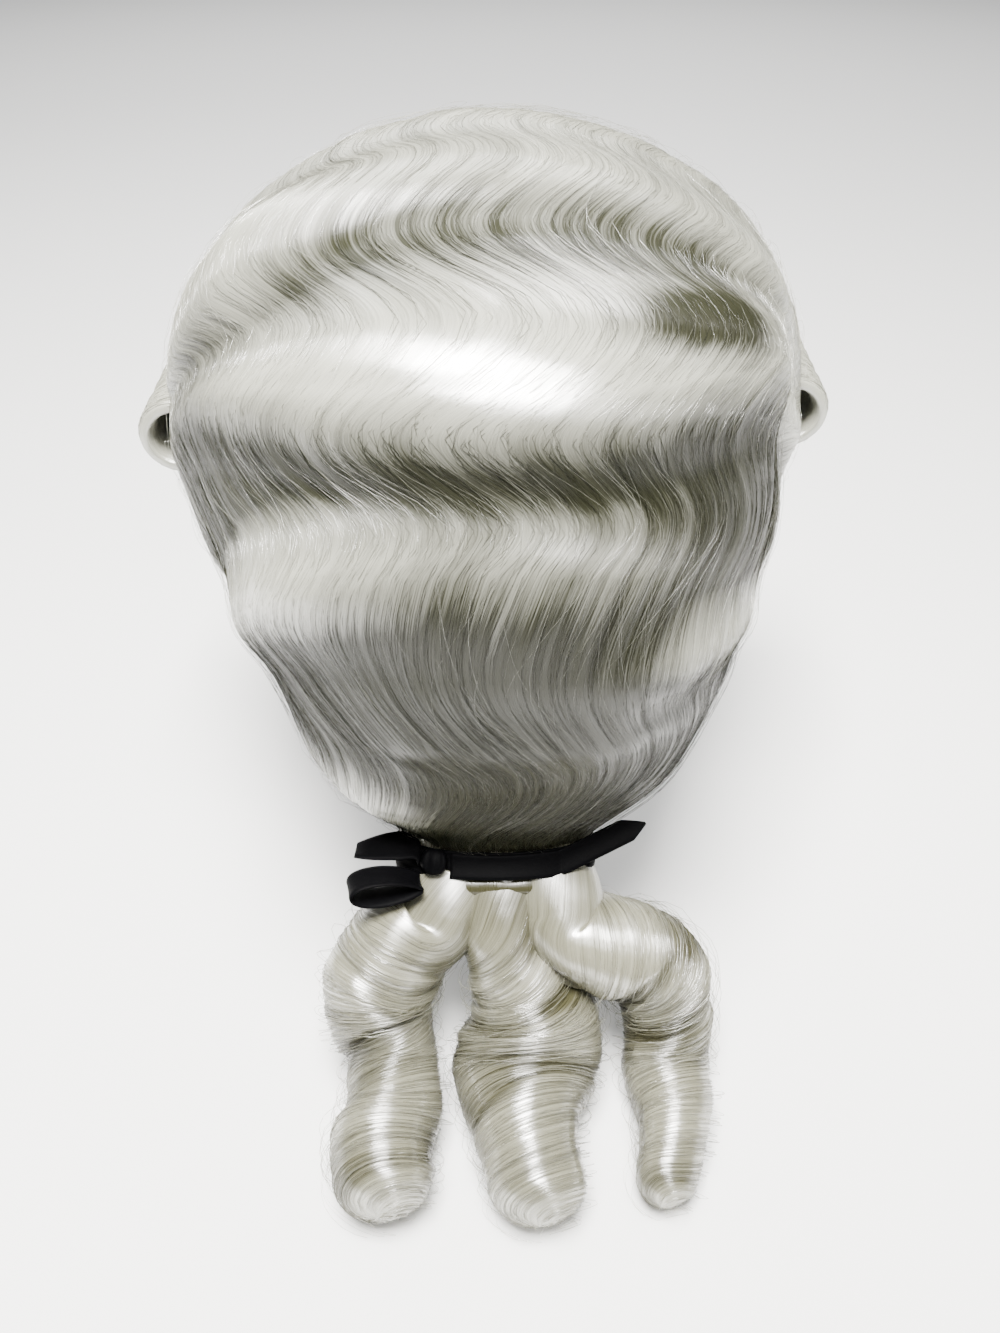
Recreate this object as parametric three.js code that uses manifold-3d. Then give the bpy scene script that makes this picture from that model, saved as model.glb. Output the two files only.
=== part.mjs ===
// A powdered wig in the style of the late eighteenth century, as it sits on a head.
// The hair is swept back from the forehead in finger waves, rolled under into one curl over
// each ear, and gathered at the nape by a ribbon into a queue of ringlets that lie on the
// surface behind it.
//
// Millimetres, +Z up, the face towards -Y and the nape towards +Y, the wearer's left at +X.
// The origin is where the crown of the head touches the inside of the wig.
import * as THREE from "three";
import { mergeVertices } from "three/addons/utils/BufferGeometryUtils.js";
import Module from "manifold-3d";

// The cap, which is the inside of the wig.
const capLength = 180;
const capWidth = 160;
const capDrop = 192;

// The hair on the cap.
const hairDepth = 27;
const waveDepth = 6.5;
const hemThickness = 2.5;
const hemRound = 13;
// The share of its depth that the hair loses under a rolled curl.
const underCurl = 0.5;

// The rolled curl over each ear.
const rollRadius = 17;
const rollWall = 4.6;
const rollTurnGap = 1.3;

// The queue at the nape, and the ringlets that hang from it.
const queueWidth = 70;
const queueDepth = 22;
const queueLength = 29;
const queueSetBack = 11;
const ringletRadius = 19.5;
const ringletReach = 80;
const ringletDrop = 55;
const ringletSpread = 60;
const ringletPitch = 27;
const ringletGroove = 2.2;

// The ribbon that ties the queue.
const ribbonWidth = 11;
const ribbonThickness = 1.2;
const knotWidth = 9;
const knotHeight = 9;
const knotDepth = 6;
const loopLength = 25;
const loopHeight = 14;
const leftTailLength = 22;
const rightTailLength = 34;

// The gap between two pieces that touch, and how many such gaps a curl's room goes past its ends
// and the knot stands off the band.
const pieceGap = 0.3;
const roomOverrun = 3;
const knotStandOff = 4;

const degree = Math.PI / 180;
const fullTurn = 360;

// A table whose first line names its columns: one record for each row.
function table(columns, ...rows) {
  return rows.map((row) => Object.fromEntries(columns.map((column, i) => [column, row[i]])));
}

// The arches of the cap, from the hairline at the forehead to the nape. Each one runs from ear
// to ear over a crown point, and is widest at its waist. crownY and waistY are shares of
// capLength, crownZ and waistZ shares of capDrop below the origin, halfWidth and shift shares of
// half the capWidth, and tuck the degrees that the arch goes on below its waist. A low fullness
// squares the arch. backHair and sideHair are the depth of the hair at the crown and at the waist,
// as shares of hairDepth.
const arches = table(
  [
    "along", "crownY", "crownZ", "waistY", "waistZ", "halfWidth",
    "shift", "tuck", "fullness", "backHair", "sideHair",
  ],
  [0.0, -0.467, 0.29, -0.367, 0.583, 0.83, 0, 4, 0.9, 0.34, 0.3],
  [0.1, -0.456, 0.156, -0.322, 0.583, 0.9, -0.01, 6, 0.9, 0.48, 0.72],
  [0.22, -0.32, 0.042, -0.233, 0.573, 0.97, -0.01, 9, 0.93, 0.49, 1.0],
  [0.35, -0.06, 0.0, -0.1, 0.552, 1.0, 0, 12, 0.93, 0.49, 1.12],
  [0.48, 0.156, 0.031, 0.022, 0.552, 1.0, 0.015, 14, 0.89, 0.54, 1.0],
  [0.6, 0.378, 0.167, 0.111, 0.594, 0.95, 0.01, 14, 0.88, 0.59, 0.74],
  [0.7, 0.5, 0.354, 0.189, 0.667, 0.84, 0, 14, 0.89, 0.63, 0.7],
  [0.79, 0.539, 0.536, 0.25, 0.74, 0.745, -0.02, 14, 0.9, 0.67, 0.7],
  [0.87, 0.511, 0.719, 0.3, 0.833, 0.65, -0.035, 14, 0.9, 0.68, 0.66],
  [0.94, 0.456, 0.885, 0.344, 0.927, 0.54, -0.04, 14, 0.95, 0.68, 0.52],
  [1.0, 0.411, 1.0, 0.378, 1.0, 0.34, -0.03, 10, 1.0, 0.6, 0.22],
);
// Along the arches, the hair over the ears ends softly between two places. From the crown to the
// hem, as shares of the half arch, it grows full there between two more, and the space under a
// rolled curl starts between another two.
const overEar = { full: 0.36, over: 0.56 };
const fullSide = { from: 0.1, to: 0.66 };
const curlSpace = { from: 0.76, to: 0.9 };
// Where the waves fade towards the nape, and how far from the hem they do, as a share of the arch.
const waveFade = { nape: 0.95, hem: 0.42 };

// The finger waves. Each ridge runs across the head from the wearer's left to the right. left,
// middle and right say where it lies along the arches, its height in three places is a share of
// waveDepth, and before and after are the widths of its two flanks along the arches.
const ridges = table(
  ["left", "middle", "right", "heightLeft", "heightMiddle", "heightRight", "before", "after"],
  [0.16, 0.17, 0.16, 0.35, 0.45, 0.35, 0.07, 0.06],
  [0.31, 0.33, 0.32, 0.5, 0.35, 0.45, 0.07, 0.06],
  [0.46, 0.485, 0.47, 0.9, 0.6, 0.5, 0.08, 0.06],
  [0.53, 0.545, 0.548, 0.0, 0.1, 0.85, 0.035, 0.035],
  [0.63, 0.642, 0.615, 1.0, 1.0, 1.0, 0.085, 0.045],
  [0.765, 0.752, 0.7, 1.0, 0.9, 0.3, 0.06, 0.055],
  [0.84, 0.81, 0.748, 0.1, 0.25, 0.85, 0.05, 0.05],
  [0.925, 0.93, 0.915, 0.75, 0.55, 0.45, 0.06, 0.06],
);
// How far to each side the left and right values of a ridge hold, as a share of the half arch.
const ridgeReach = 0.8;

// Where each rolled curl lies: its two ends, as shares of the cap's half width, length and drop.
const rollSeats = {
  left: { side: 1, frontY: -0.44, rearY: 0.045, out: 1.325, height: 0.432 },
  right: { side: -1, frontY: -0.5, rearY: -0.05, out: 1.3, height: 0.432 },
};
// How wide a curl is from its front end to its rear, as a share of rollRadius.
const rollSwell = table(
  ["along", "size"],
  [0, 0.94],
  [0.45, 1.06],
  [1, 0.95],
);
// A curl's hair winds inwards from this place, in degrees from its outer side, by so many turns.
const rollStart = 205;
const rollTurns = 1.3;
// The wall is thinner where the hair starts and where it ends: by this share, over so many steps.
const thinWall = 0.4;
const thinSteps = 3;

// The queue's cross-sections, from the hair above it: back and down are shares of queueLength, wide
// and deep of queueWidth and queueDepth, and lean is the degrees that its face turns from level.
const queueSections = table(
  ["along", "back", "down", "wide", "deep", "lean"],
  [0, 0, 0, 0.96, 0.96, 0],
  [0.35, 0.06, 0.28, 0.95, 0.98, 14],
  [0.7, 0.28, 0.55, 0.98, 1.08, 29],
  [1, 0.57, 0.75, 1.08, 1.3, 42],
);
// The steps of the queue, from its top, that the ribbon's two edges follow, and how many it has.
const queueSteps = 9;
const tieAbove = 2;
const tieBelow = 6;

// The ringlets. Each row is a place on a ringlet's middle line, from the queue to the tip: side is
// a share of ringletSpread, back of ringletReach, down of ringletDrop and size of ringletRadius.
const ringletPaths = {
  left: table(
    ["side", "back", "down", "size"],
    [0.32, 0.022, 0.036, 0.46],
    [0.345, 0.07, 0.13, 0.58],
    [0.52, 0.115, 0.25, 0.86],
    [0.68, 0.16, 0.46, 1.06],
    [0.7, 0.25, 0.68, 1.06],
    [0.64, 0.4, 0.89, 0.93],
    [0.6, 0.63, 0.97, 0.95],
    [0.63, 0.86, 0.98, 0.89],
    [0.64, 0.98, 0.98, 0.66],
    [0.64, 1.03, 0.98, 0.34],
  ),
  centre: table(
    ["side", "back", "down", "size"],
    [-0.03, 0.018, 0.03, 0.48],
    [-0.05, 0.075, 0.13, 0.56],
    [-0.09, 0.14, 0.32, 0.68],
    [-0.14, 0.19, 0.54, 0.88],
    [-0.18, 0.29, 0.76, 1.14],
    [-0.19, 0.44, 0.9, 1.22],
    [-0.18, 0.64, 0.95, 1.04],
    [-0.21, 0.84, 0.99, 0.87],
    [-0.225, 0.99, 1.02, 0.68],
    [-0.23, 1.06, 1.04, 0.36],
  ),
  right: table(
    ["side", "back", "down", "size"],
    [-0.4, 0.024, 0.04, 0.46],
    [-0.43, 0.075, 0.14, 0.58],
    [-0.65, 0.125, 0.31, 0.8],
    [-0.9, 0.15, 0.5, 0.97],
    [-1.0, 0.23, 0.76, 0.9],
    [-1.05, 0.39, 0.99, 0.78],
    [-1.04, 0.6, 1.06, 0.68],
    [-0.99, 0.8, 1.09, 0.54],
    [-0.93, 0.93, 1.11, 0.38],
    [-0.91, 0.97, 1.12, 0.2],
  ),
};
// The turn of the grooves at a ringlet's root, in degrees, and the share of a ringlet over which
// they fade at either end.
const grooveTurn = { left: 0, centre: 120, right: 240 };
const grooveFade = 1 / 6;

// Where the knot sits on the queue: the share of the way down it, and the degrees from the wearer's
// left towards the back. The loop and the tails leave it by ways that are given as away along the
// ribbon, down the queue and out from it, as those directions stand at bowTurn.
const knotAlong = 0.33;
const knotTurn = 57;
const bowTurn = 74;
const loopWay = { away: 0.95, down: 0.13, out: 0.3 };
const loopWidthWay = { away: -0.3, down: 0.56, out: 0.8 };
const leftTailWay = { away: 0.98, down: -0.05, out: 0.12 };
const rightTailWay = { away: -0.93, down: -0.34, out: 0.26 };
// How far the loop and the left tail start from the knot's middle, away from it and up or down,
// as shares of half the knot's width and of half the ribbon's.
const loopRoot = { away: 0.8, down: 1.3 };
const tailRoot = { away: 1.1, down: -0.3 };
// The loop starts and ends a little apart, as a share of its way round, and its ribbon is drawn
// together there to this share of its width. The left tail is drawn together as well, over a share
// of its length.
const loopOpening = 0.03;
const drawnLoop = 0.8;
const drawnTail = { share: 0.62, over: 0.33 };
// The left tail rises above its straight way by so many millimetres, and turns its face up towards
// its end, in degrees.
const tailRise = 3;
const tailTurn = { from: 22, to: 66 };
// A tail's cut has its tip at this share of its width, and its corners are this much shorter.
const tailTip = 0.66;
const tailCut = 0.34;
// The right tail lies on the band from one of the queue's sides to another, and then comes free.
const rightTailFrom = 5;
const rightTailTo = 10;

// Mesh fineness.
const archSteps = 48;
const acrossSteps = 26;
const rollSteps = 22;
const rollStations = 5;
const rollRoomSides = 20;
const queueSides = 28;
const ringletSides = 14;
const ringletSteps = 26;
const loopSteps = 18;
const tailSteps = 8;
const knotSides = 14;
const knotRings = 10;
// The small steps that directions are measured over, as shares of the way along.
const arcStep = 0.002;
const loopStep = 0.01;
const queueStep = 0.05;

// Colours of the finishes.
const hair = new THREE.MeshStandardMaterial({ color: 0xe9e7dc, roughness: 0.42, metalness: 0 });
const curlHair = new THREE.MeshStandardMaterial({ color: 0xeae5cf, roughness: 0.38, metalness: 0 });
const blackSatin = new THREE.MeshStandardMaterial({ color: 0x0b0b0d, roughness: 0.5, metalness: 0 });

const wig = new THREE.Group();
wig.name = "powdered_wig";

const wasm = await Module();
wasm.setup();

function addPiece(name, geometry, material) {
  const mesh = new THREE.Mesh(geometry, material);
  mesh.name = name;
  wig.add(mesh);
  return mesh;
}

function smoothStep(low, high, value) {
  const u = Math.min(Math.max((value - low) / (high - low), 0), 1);
  return u * u * (3 - 2 * u);
}

// One column of a table at a place along it, on a smooth line through every row.
function readColumn(rows, column, place) {
  const last = rows.length - 1;
  const at = Math.min(Math.max(place, rows[0].along), rows[last].along);
  let i = 0;
  while (i < last - 1 && at >= rows[i + 1].along) i++;
  const slope = (k) => {
    const from = rows[Math.max(k - 1, 0)];
    const to = rows[Math.min(k + 1, last)];
    return (to[column] - from[column]) / (to.along - from.along);
  };
  const step = rows[i + 1].along - rows[i].along;
  const u = (at - rows[i].along) / step;
  return (
    (2 * u ** 3 - 3 * u ** 2 + 1) * rows[i][column] +
    (u ** 3 - 2 * u ** 2 + u) * step * slope(i) +
    (3 * u ** 2 - 2 * u ** 3) * rows[i + 1][column] +
    (u ** 3 - u ** 2) * step * slope(i + 1)
  );
}

// A closed surface from a list of triangles, each a list of three points.
function closedGeometry(triangles) {
  const geometry = new THREE.BufferGeometry();
  const places = triangles.flat().flatMap((p) => [p.x, p.y, p.z]);
  geometry.setAttribute("position", new THREE.Float32BufferAttribute(places, 3));
  geometry.computeVertexNormals();
  return geometry;
}

// A skin of rings, one after another, closed by a fan at each end. Every ring has as many points.
function ringSkin(rings) {
  const triangles = [];
  const sides = rings[0].length;
  const middle = (ring) =>
    ring.reduce((sum, p) => sum.add(p), new THREE.Vector3()).divideScalar(sides);
  for (let k = 0; k < rings.length - 1; k++)
    for (let i = 0; i < sides; i++) {
      const j = (i + 1) % sides;
      triangles.push([rings[k][i], rings[k][j], rings[k + 1][j]]);
      triangles.push([rings[k][i], rings[k + 1][j], rings[k + 1][i]]);
    }
  const first = middle(rings[0]);
  const last = middle(rings[rings.length - 1]);
  for (let i = 0; i < sides; i++) {
    const j = (i + 1) % sides;
    triangles.push([rings[0][j], rings[0][i], first]);
    triangles.push([rings[rings.length - 1][i], rings[rings.length - 1][j], last]);
  }
  return closedGeometry(triangles);
}

// A skin of rings that closes on itself, as a hoop does.
function closedLoop(rings) {
  const triangles = [];
  const sides = rings[0].length;
  for (let k = 0; k < rings.length; k++) {
    const next = rings[(k + 1) % rings.length];
    for (let i = 0; i < sides; i++) {
      const j = (i + 1) % sides;
      triangles.push([rings[k][i], rings[k][j], next[j]], [rings[k][i], next[j], next[i]]);
    }
  }
  return closedGeometry(triangles);
}

function toSolid(geometry) {
  const bare = geometry.clone();
  bare.deleteAttribute("normal");
  bare.deleteAttribute("uv");
  const merged = mergeVertices(bare, 1e-3);
  return new wasm.Manifold(
    new wasm.Mesh({
      numProp: 3,
      vertProperties: merged.attributes.position.array,
      triVerts: new Uint32Array(merged.index.array),
    }),
  );
}

function toGeometry(solid) {
  const mesh = solid.getMesh();
  const geometry = new THREE.BufferGeometry();
  geometry.setAttribute("position", new THREE.BufferAttribute(mesh.vertProperties, 3));
  geometry.setIndex(new THREE.BufferAttribute(mesh.triVerts, 1));
  geometry.computeVertexNormals();
  return geometry;
}

// A point of the cap. along runs from the hairline (0) to the nape (1), and across from the hem on
// the wearer's right (-1) over the head to the hem on the left (1).
function capPoint(along, across) {
  const read = (column) => readColumn(arches, column, along);
  const turn = across * (90 + read("tuck")) * degree;
  const bend = (value) => Math.sign(value) * Math.abs(value) ** read("fullness");
  const up = bend(Math.cos(turn));
  const waistY = read("waistY") * capLength;
  const waistZ = -read("waistZ") * capDrop;
  return new THREE.Vector3(
    (read("halfWidth") * bend(Math.sin(turn)) + read("shift")) * (capWidth / 2),
    waistY + (read("crownY") * capLength - waistY) * up,
    waistZ + (-read("crownZ") * capDrop - waistZ) * up,
  );
}

// The outward direction of the cap at a point.
function capNormal(along, across) {
  const a = Math.min(Math.max(along, arcStep), 1 - arcStep);
  const s = Math.min(Math.max(across, arcStep - 1), 1 - arcStep);
  const lengthwise = capPoint(a + arcStep, s).sub(capPoint(a - arcStep, s));
  const sidewise = capPoint(a, s + arcStep).sub(capPoint(a, s - arcStep));
  return sidewise.cross(lengthwise).normalize();
}

// The height of the finger waves over the plain hair, in millimetres.
function waveHeight(along, across) {
  const side = Math.min(Math.max(across / ridgeReach, -1), 1);
  const blend = (left, middle, right) =>
    side > 0 ? middle + (left - middle) * side * side : middle + (right - middle) * side * side;
  let height = 0;
  for (const ridge of ridges) {
    const crest = blend(ridge.left, ridge.middle, ridge.right);
    const share = blend(ridge.heightLeft, ridge.heightMiddle, ridge.heightRight);
    const flank = along < crest ? ridge.before : ridge.after;
    const u = Math.min(Math.abs(along - crest) / flank, 1);
    height += share * waveDepth * Math.cos((u * Math.PI) / 2) ** 2;
  }
  return height;
}

// The hair thins towards the hem, where it starts from the edge of the cap.
const archGirth = (capWidth + capDrop) / 2;
function hemShare(along, across) {
  const fromSide = (1 - Math.abs(across)) * archGirth;
  const fromFront = along * (capLength + capDrop);
  const share = Math.min(Math.min(fromSide, fromFront) / hemRound, 1);
  return Math.sqrt(1 - (1 - share) ** 2);
}

// The depth of the hair before it is waved. It is fullest over each ear, just above the rolled
// curl, and thinner below it.
function plainDepth(along, across) {
  const off = Math.abs(across);
  const round = Math.sin((off * Math.PI) / 2) ** 2;
  const ear = 1 - smoothStep(overEar.full, overEar.over, along);
  const side = round + (smoothStep(fullSide.from, fullSide.to, off) - round) * ear;
  const below = 1 - underCurl * smoothStep(curlSpace.from, curlSpace.to, off) * ear;
  const back = readColumn(arches, "backHair", along) * (1 - side);
  return (back + readColumn(arches, "sideHair", along) * side * below) * hairDepth;
}

function hairPoint(along, across) {
  const plain = plainDepth(along, across);
  const fade =
    (1 - smoothStep(waveFade.nape, 1, along)) * smoothStep(0, waveFade.hem, 1 - Math.abs(across));
  const waved = plain + (waveHeight(along, across) - waveDepth / 2) * fade;
  const depth = hemThickness + (waved - hemThickness) * hemShare(along, across);
  const point = capPoint(along, across).addScaledVector(capNormal(along, across), depth);
  point.z = Math.max(point.z, -capDrop);
  return point;
}

// The whole head of hair: its waved outside, the plain inside, and the hem between them.
function crownHair() {
  const triangles = [];
  const place = (k, i, outside) => {
    const along = k / archSteps;
    const across = (2 * i) / acrossSteps - 1;
    return outside ? hairPoint(along, across) : capPoint(along, across);
  };
  const outer = [];
  const inner = [];
  for (let k = 0; k <= archSteps; k++) {
    outer.push([]);
    inner.push([]);
    for (let i = 0; i <= acrossSteps; i++) {
      outer[k].push(place(k, i, true));
      inner[k].push(place(k, i, false));
    }
  }
  const quad = (a, b, c, d) => triangles.push([a, b, c], [a, c, d]);
  for (let k = 0; k < archSteps; k++)
    for (let i = 0; i < acrossSteps; i++) {
      quad(outer[k][i], outer[k][i + 1], outer[k + 1][i + 1], outer[k + 1][i]);
      quad(inner[k][i], inner[k + 1][i], inner[k + 1][i + 1], inner[k][i + 1]);
    }
  for (let k = 0; k < archSteps; k++) {
    quad(outer[k][0], outer[k + 1][0], inner[k + 1][0], inner[k][0]);
    quad(outer[k][acrossSteps], inner[k][acrossSteps], inner[k + 1][acrossSteps], outer[k + 1][acrossSteps]);
  }
  for (let i = 0; i < acrossSteps; i++) {
    quad(outer[0][i], inner[0][i], inner[0][i + 1], outer[0][i + 1]);
    quad(outer[archSteps][i], outer[archSteps][i + 1], inner[archSteps][i + 1], inner[archSteps][i]);
  }
  return closedGeometry(triangles);
}

// The outline of a roll, seen along it: a wall that winds inwards, thin where the hair starts.
function rollWalls() {
  const outside = [];
  const inside = [];
  for (let i = 0; i <= rollSteps; i++) {
    const turn = (i / rollSteps) * rollTurns;
    const radius = rollRadius - turn * (rollWall + rollTurnGap);
    const angle = (rollStart - turn * fullTurn) * degree;
    const wall = rollWall * Math.min(thinWall + Math.min(i, rollSteps - i) / thinSteps, 1);
    const direction = new THREE.Vector2(Math.cos(angle), Math.sin(angle));
    outside.push(direction.clone().multiplyScalar(radius));
    inside.push(direction.clone().multiplyScalar(radius - wall));
  }
  return { outside, inside };
}

// The middle of a curl and its size at a place from its front end (0) to its rear end (1).
function rollPlace(seat, along) {
  return {
    x: seat.side * seat.out * (capWidth / 2),
    y: (seat.frontY + (seat.rearY - seat.frontY) * along) * capLength,
    z: -seat.height * capDrop,
    size: readColumn(rollSwell, "size", along),
  };
}

// The curl over one ear, open at both ends.
function sideRoll(seat) {
  const { outside, inside } = rollWalls();
  const last = outside.length - 1;
  const triangles = [];
  const quad = (a, b, c, d) => triangles.push([a, b, c], [a, c, d]);
  const place = (point, k) => {
    const at = rollPlace(seat, k / rollStations);
    return new THREE.Vector3(at.x + seat.side * point.x * at.size, at.y, at.z + point.y * at.size);
  };
  const along = (a, b, k) => quad(place(a, k), place(a, k + 1), place(b, k + 1), place(b, k));
  for (let k = 0; k < rollStations; k++) {
    for (let i = 0; i < last; i++) {
      along(outside[i], outside[i + 1], k);
      along(inside[i + 1], inside[i], k);
    }
    along(inside[0], outside[0], k);
    along(outside[last], inside[last], k);
  }
  for (let i = 0; i < last; i++) {
    const wall = [outside[i], outside[i + 1], inside[i + 1], inside[i]];
    quad(...wall.map((point) => place(point, 0)));
    quad(...wall.reverse().map((point) => place(point, rollStations)));
  }
  if (seat.side > 0) triangles.forEach((triangle) => triangle.reverse());
  return closedGeometry(triangles);
}

// The room that a curl takes in the hair behind it.
function rollRoom(seat) {
  const rings = [];
  const overrun = roomOverrun * pieceGap;
  for (let k = 0; k <= rollStations; k++) {
    const at = rollPlace(seat, k / rollStations);
    const y = at.y + (k === 0 ? -overrun : k === rollStations ? overrun : 0);
    const radius = (rollRadius * at.size + pieceGap) / Math.cos(Math.PI / rollRoomSides);
    const ring = [];
    for (let i = 0; i < rollRoomSides; i++) {
      const angle = (i / rollRoomSides) * 2 * Math.PI;
      ring.push(new THREE.Vector3(at.x - radius * Math.cos(angle), y, at.z + radius * Math.sin(angle)));
    }
    rings.push(ring);
  }
  return ringSkin(rings);
}

// Where the queue starts under the hair, and where its ringlets start.
const nape = arches[arches.length - 1];
const queueTop = {
  y: nape.waistY * capLength + queueSetBack,
  z: -nape.waistZ * capDrop - pieceGap,
};
const queueTip = queueSections[queueSections.length - 1];
const queueEnd = {
  y: queueTop.y + queueTip.back * queueLength,
  z: queueTop.z - queueTip.down * queueLength,
};

// A point round the queue at a place along it, grown outwards by some millimetres. The turn is 0
// at the wearer's left and 90 at the back.
function queuePoint(along, turn, grow) {
  const read = (column) => readColumn(queueSections, column, along);
  const lean = read("lean") * degree;
  const angle = turn * degree;
  const out = ((read("deep") * queueDepth) / 2 + grow) * Math.sin(angle);
  return new THREE.Vector3(
    ((read("wide") * queueWidth) / 2 + grow) * Math.cos(angle),
    queueTop.y + read("back") * queueLength + out * Math.cos(lean),
    queueTop.z - read("down") * queueLength + out * Math.sin(lean),
  );
}

// The gathered hair that the ribbon ties.
function queueRoot() {
  const rings = [];
  for (let k = 0; k <= queueSteps; k++) {
    const ring = [];
    for (let i = 0; i < queueSides; i++)
      ring.push(queuePoint(k / queueSteps, (-i / queueSides) * fullTurn, 0));
    rings.push(ring);
  }
  return ringSkin(rings);
}

// The middle line of a ringlet and its rings, grooved like wound hair.
function ringlet(name) {
  const rows = ringletPaths[name].map((row, i, all) => ({ ...row, along: i / (all.length - 1) }));
  const places = rows.map(
    (row) =>
      new THREE.Vector3(
        row.side * ringletSpread,
        queueEnd.y + row.back * ringletReach,
        queueEnd.z - row.down * ringletDrop,
      ),
  );
  const line = new THREE.CatmullRomCurve3(places, false, "centripetal");
  const frames = line.computeFrenetFrames(ringletSteps, false);
  const length = line.getLength();
  const rings = [];
  for (let k = 0; k <= ringletSteps; k++) {
    const share = k / ringletSteps;
    const middle = line.getPointAt(share);
    const plain = readColumn(rows, "size", line.getUtoTmapping(share)) * ringletRadius;
    const fade = Math.min(Math.min(share, 1 - share) / grooveFade, 1);
    const ring = [];
    for (let i = 0; i < ringletSides; i++) {
      const angle = (i / ringletSides) * 2 * Math.PI;
      const wind = (share * length) / ringletPitch + grooveTurn[name] / fullTurn;
      const groove = (ringletGroove * fade * (1 - Math.cos(2 * Math.PI * wind - angle))) / 2;
      ring.push(
        middle
          .clone()
          .addScaledVector(frames.normals[k], (plain - groove) * Math.cos(angle))
          .addScaledVector(frames.binormals[k], (plain - groove) * Math.sin(angle)),
      );
    }
    rings.push(ring);
  }
  return ringSkin(rings);
}

// The band's section at a place round the queue: its inner face and its outer face.
function bandRails(turn, lift) {
  const inner = [];
  const outer = [];
  for (let k = tieAbove; k <= tieBelow; k++) {
    inner.push(queuePoint(k / queueSteps, turn, lift));
    outer.push(queuePoint(k / queueSteps, turn, lift + ribbonThickness));
  }
  return [...inner, ...outer.reverse()];
}

// The band of ribbon round the queue.
function ribbonBand() {
  const rings = [];
  for (let i = 0; i < queueSides; i++)
    rings.push(bandRails((-i / queueSides) * fullTurn, pieceGap));
  return closedLoop(rings);
}

// The directions at the knot: away along the ribbon to the wearer's left, down the queue, and out.
const tieMiddle = (tieAbove + tieBelow) / 2 / queueSteps;
const bandOutside = pieceGap + ribbonThickness;
const knotLift = bandOutside + knotStandOff * pieceGap + knotDepth / 2;
function queueDirections(turn) {
  const here = queuePoint(tieMiddle, turn, 0);
  const away = queuePoint(tieMiddle, turn - 1, 0).sub(here).normalize();
  const along = queuePoint(tieMiddle + queueStep, turn, 0).sub(here).normalize();
  const out = away.clone().cross(along).normalize();
  const down = out.clone().cross(away).normalize();
  return { away, down, out };
}

function mixWay(directions, way) {
  return new THREE.Vector3()
    .addScaledVector(directions.away, way.away)
    .addScaledVector(directions.down, way.down)
    .addScaledVector(directions.out, way.out)
    .normalize();
}

// A flat ribbon through stations, each with its middle, the direction of its width and its face.
function ribbonStrip(stations) {
  const rings = stations.map(({ middle, width, face, breadth }) => {
    const corner = (w, f) =>
      middle
        .clone()
        .addScaledVector(width, (w * breadth) / 2)
        .addScaledVector(face, (f * ribbonThickness) / 2);
    return [corner(-1, -1), corner(1, -1), corner(1, 1), corner(-1, 1)];
  });
  return ringSkin(rings);
}

// The knot, a rounded lump.
function ribbonKnot() {
  const { away, down, out } = queueDirections(knotTurn);
  const seat = queuePoint(knotAlong, knotTurn, knotLift);
  const lump = new THREE.SphereGeometry(1, knotSides, knotRings);
  lump.scale(knotWidth / 2, knotHeight / 2, knotDepth / 2);
  lump.applyMatrix4(new THREE.Matrix4().makeBasis(away, down, out).setPosition(seat));
  return lump;
}

// Where a stretch of ribbon leaves the knot.
function leaveKnot(directions, root) {
  return queuePoint(knotAlong, knotTurn, knotLift)
    .addScaledVector(directions.away, (root.away * knotWidth) / 2)
    .addScaledVector(directions.down, (root.down * ribbonWidth) / 2);
}

// The loop of the bow, which hangs to the wearer's left of the knot.
function bowLoop() {
  const directions = queueDirections(bowTurn);
  const reach = mixWay(directions, loopWay);
  const width = mixWay(directions, loopWidthWay);
  const rise = width.clone().cross(reach).normalize();
  width.crossVectors(reach, rise).normalize();
  const root = leaveKnot(directions, loopRoot);
  const at = (share) => {
    const u = (loopOpening + (1 - 2 * loopOpening) * share) * 2 * Math.PI;
    return root
      .clone()
      .addScaledVector(reach, (loopLength * (1 - Math.cos(u))) / 2)
      .addScaledVector(rise, ((loopHeight * Math.sin(u)) / 2) * Math.sin(u / 2) ** 0.5);
  };
  const stations = [];
  for (let k = 0; k <= loopSteps; k++) {
    const share = k / loopSteps;
    const tangent = at(Math.min(share + loopStep, 1)).sub(at(Math.max(share - loopStep, 0)));
    stations.push({
      middle: at(share),
      width,
      face: tangent.cross(width).normalize(),
      breadth: ribbonWidth * (drawnLoop + (1 - drawnLoop) * Math.sin(share * Math.PI)),
    });
  }
  return ribbonStrip(stations);
}

// How much of a tail is left after its cut, at a share of the way across it.
function cutShare(across) {
  return 1 - (tailCut * Math.abs(across - tailTip)) / Math.max(tailTip, 1 - tailTip);
}

// The tail at the wearer's left, which leaves the knot above the loop.
function leftTail() {
  const directions = queueDirections(bowTurn);
  const reach = mixWay(directions, leftTailWay);
  const up = mixWay(directions, { away: 0, down: -1, out: 0 });
  up.addScaledVector(reach, -up.dot(reach)).normalize();
  const out = reach.clone().cross(up).normalize();
  const root = leaveKnot(directions, tailRoot);
  const stations = [];
  for (let k = 0; k <= tailSteps; k++) {
    const share = k / tailSteps;
    const turn = (tailTurn.from + (tailTurn.to - tailTurn.from) * share * share) * degree;
    const width = up.clone().multiplyScalar(Math.cos(turn)).addScaledVector(out, Math.sin(turn));
    stations.push({
      middle: root
        .clone()
        .addScaledVector(reach, share * leftTailLength)
        .addScaledVector(up, tailRise * Math.sin(Math.sqrt(share) * Math.PI)),
      width,
      face: reach.clone().cross(width).normalize(),
      breadth:
        ribbonWidth * (drawnTail.share + (1 - drawnTail.share) * smoothStep(0, drawnTail.over, share)),
    });
  }
  return ribbonStrip(stations);
}

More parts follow.
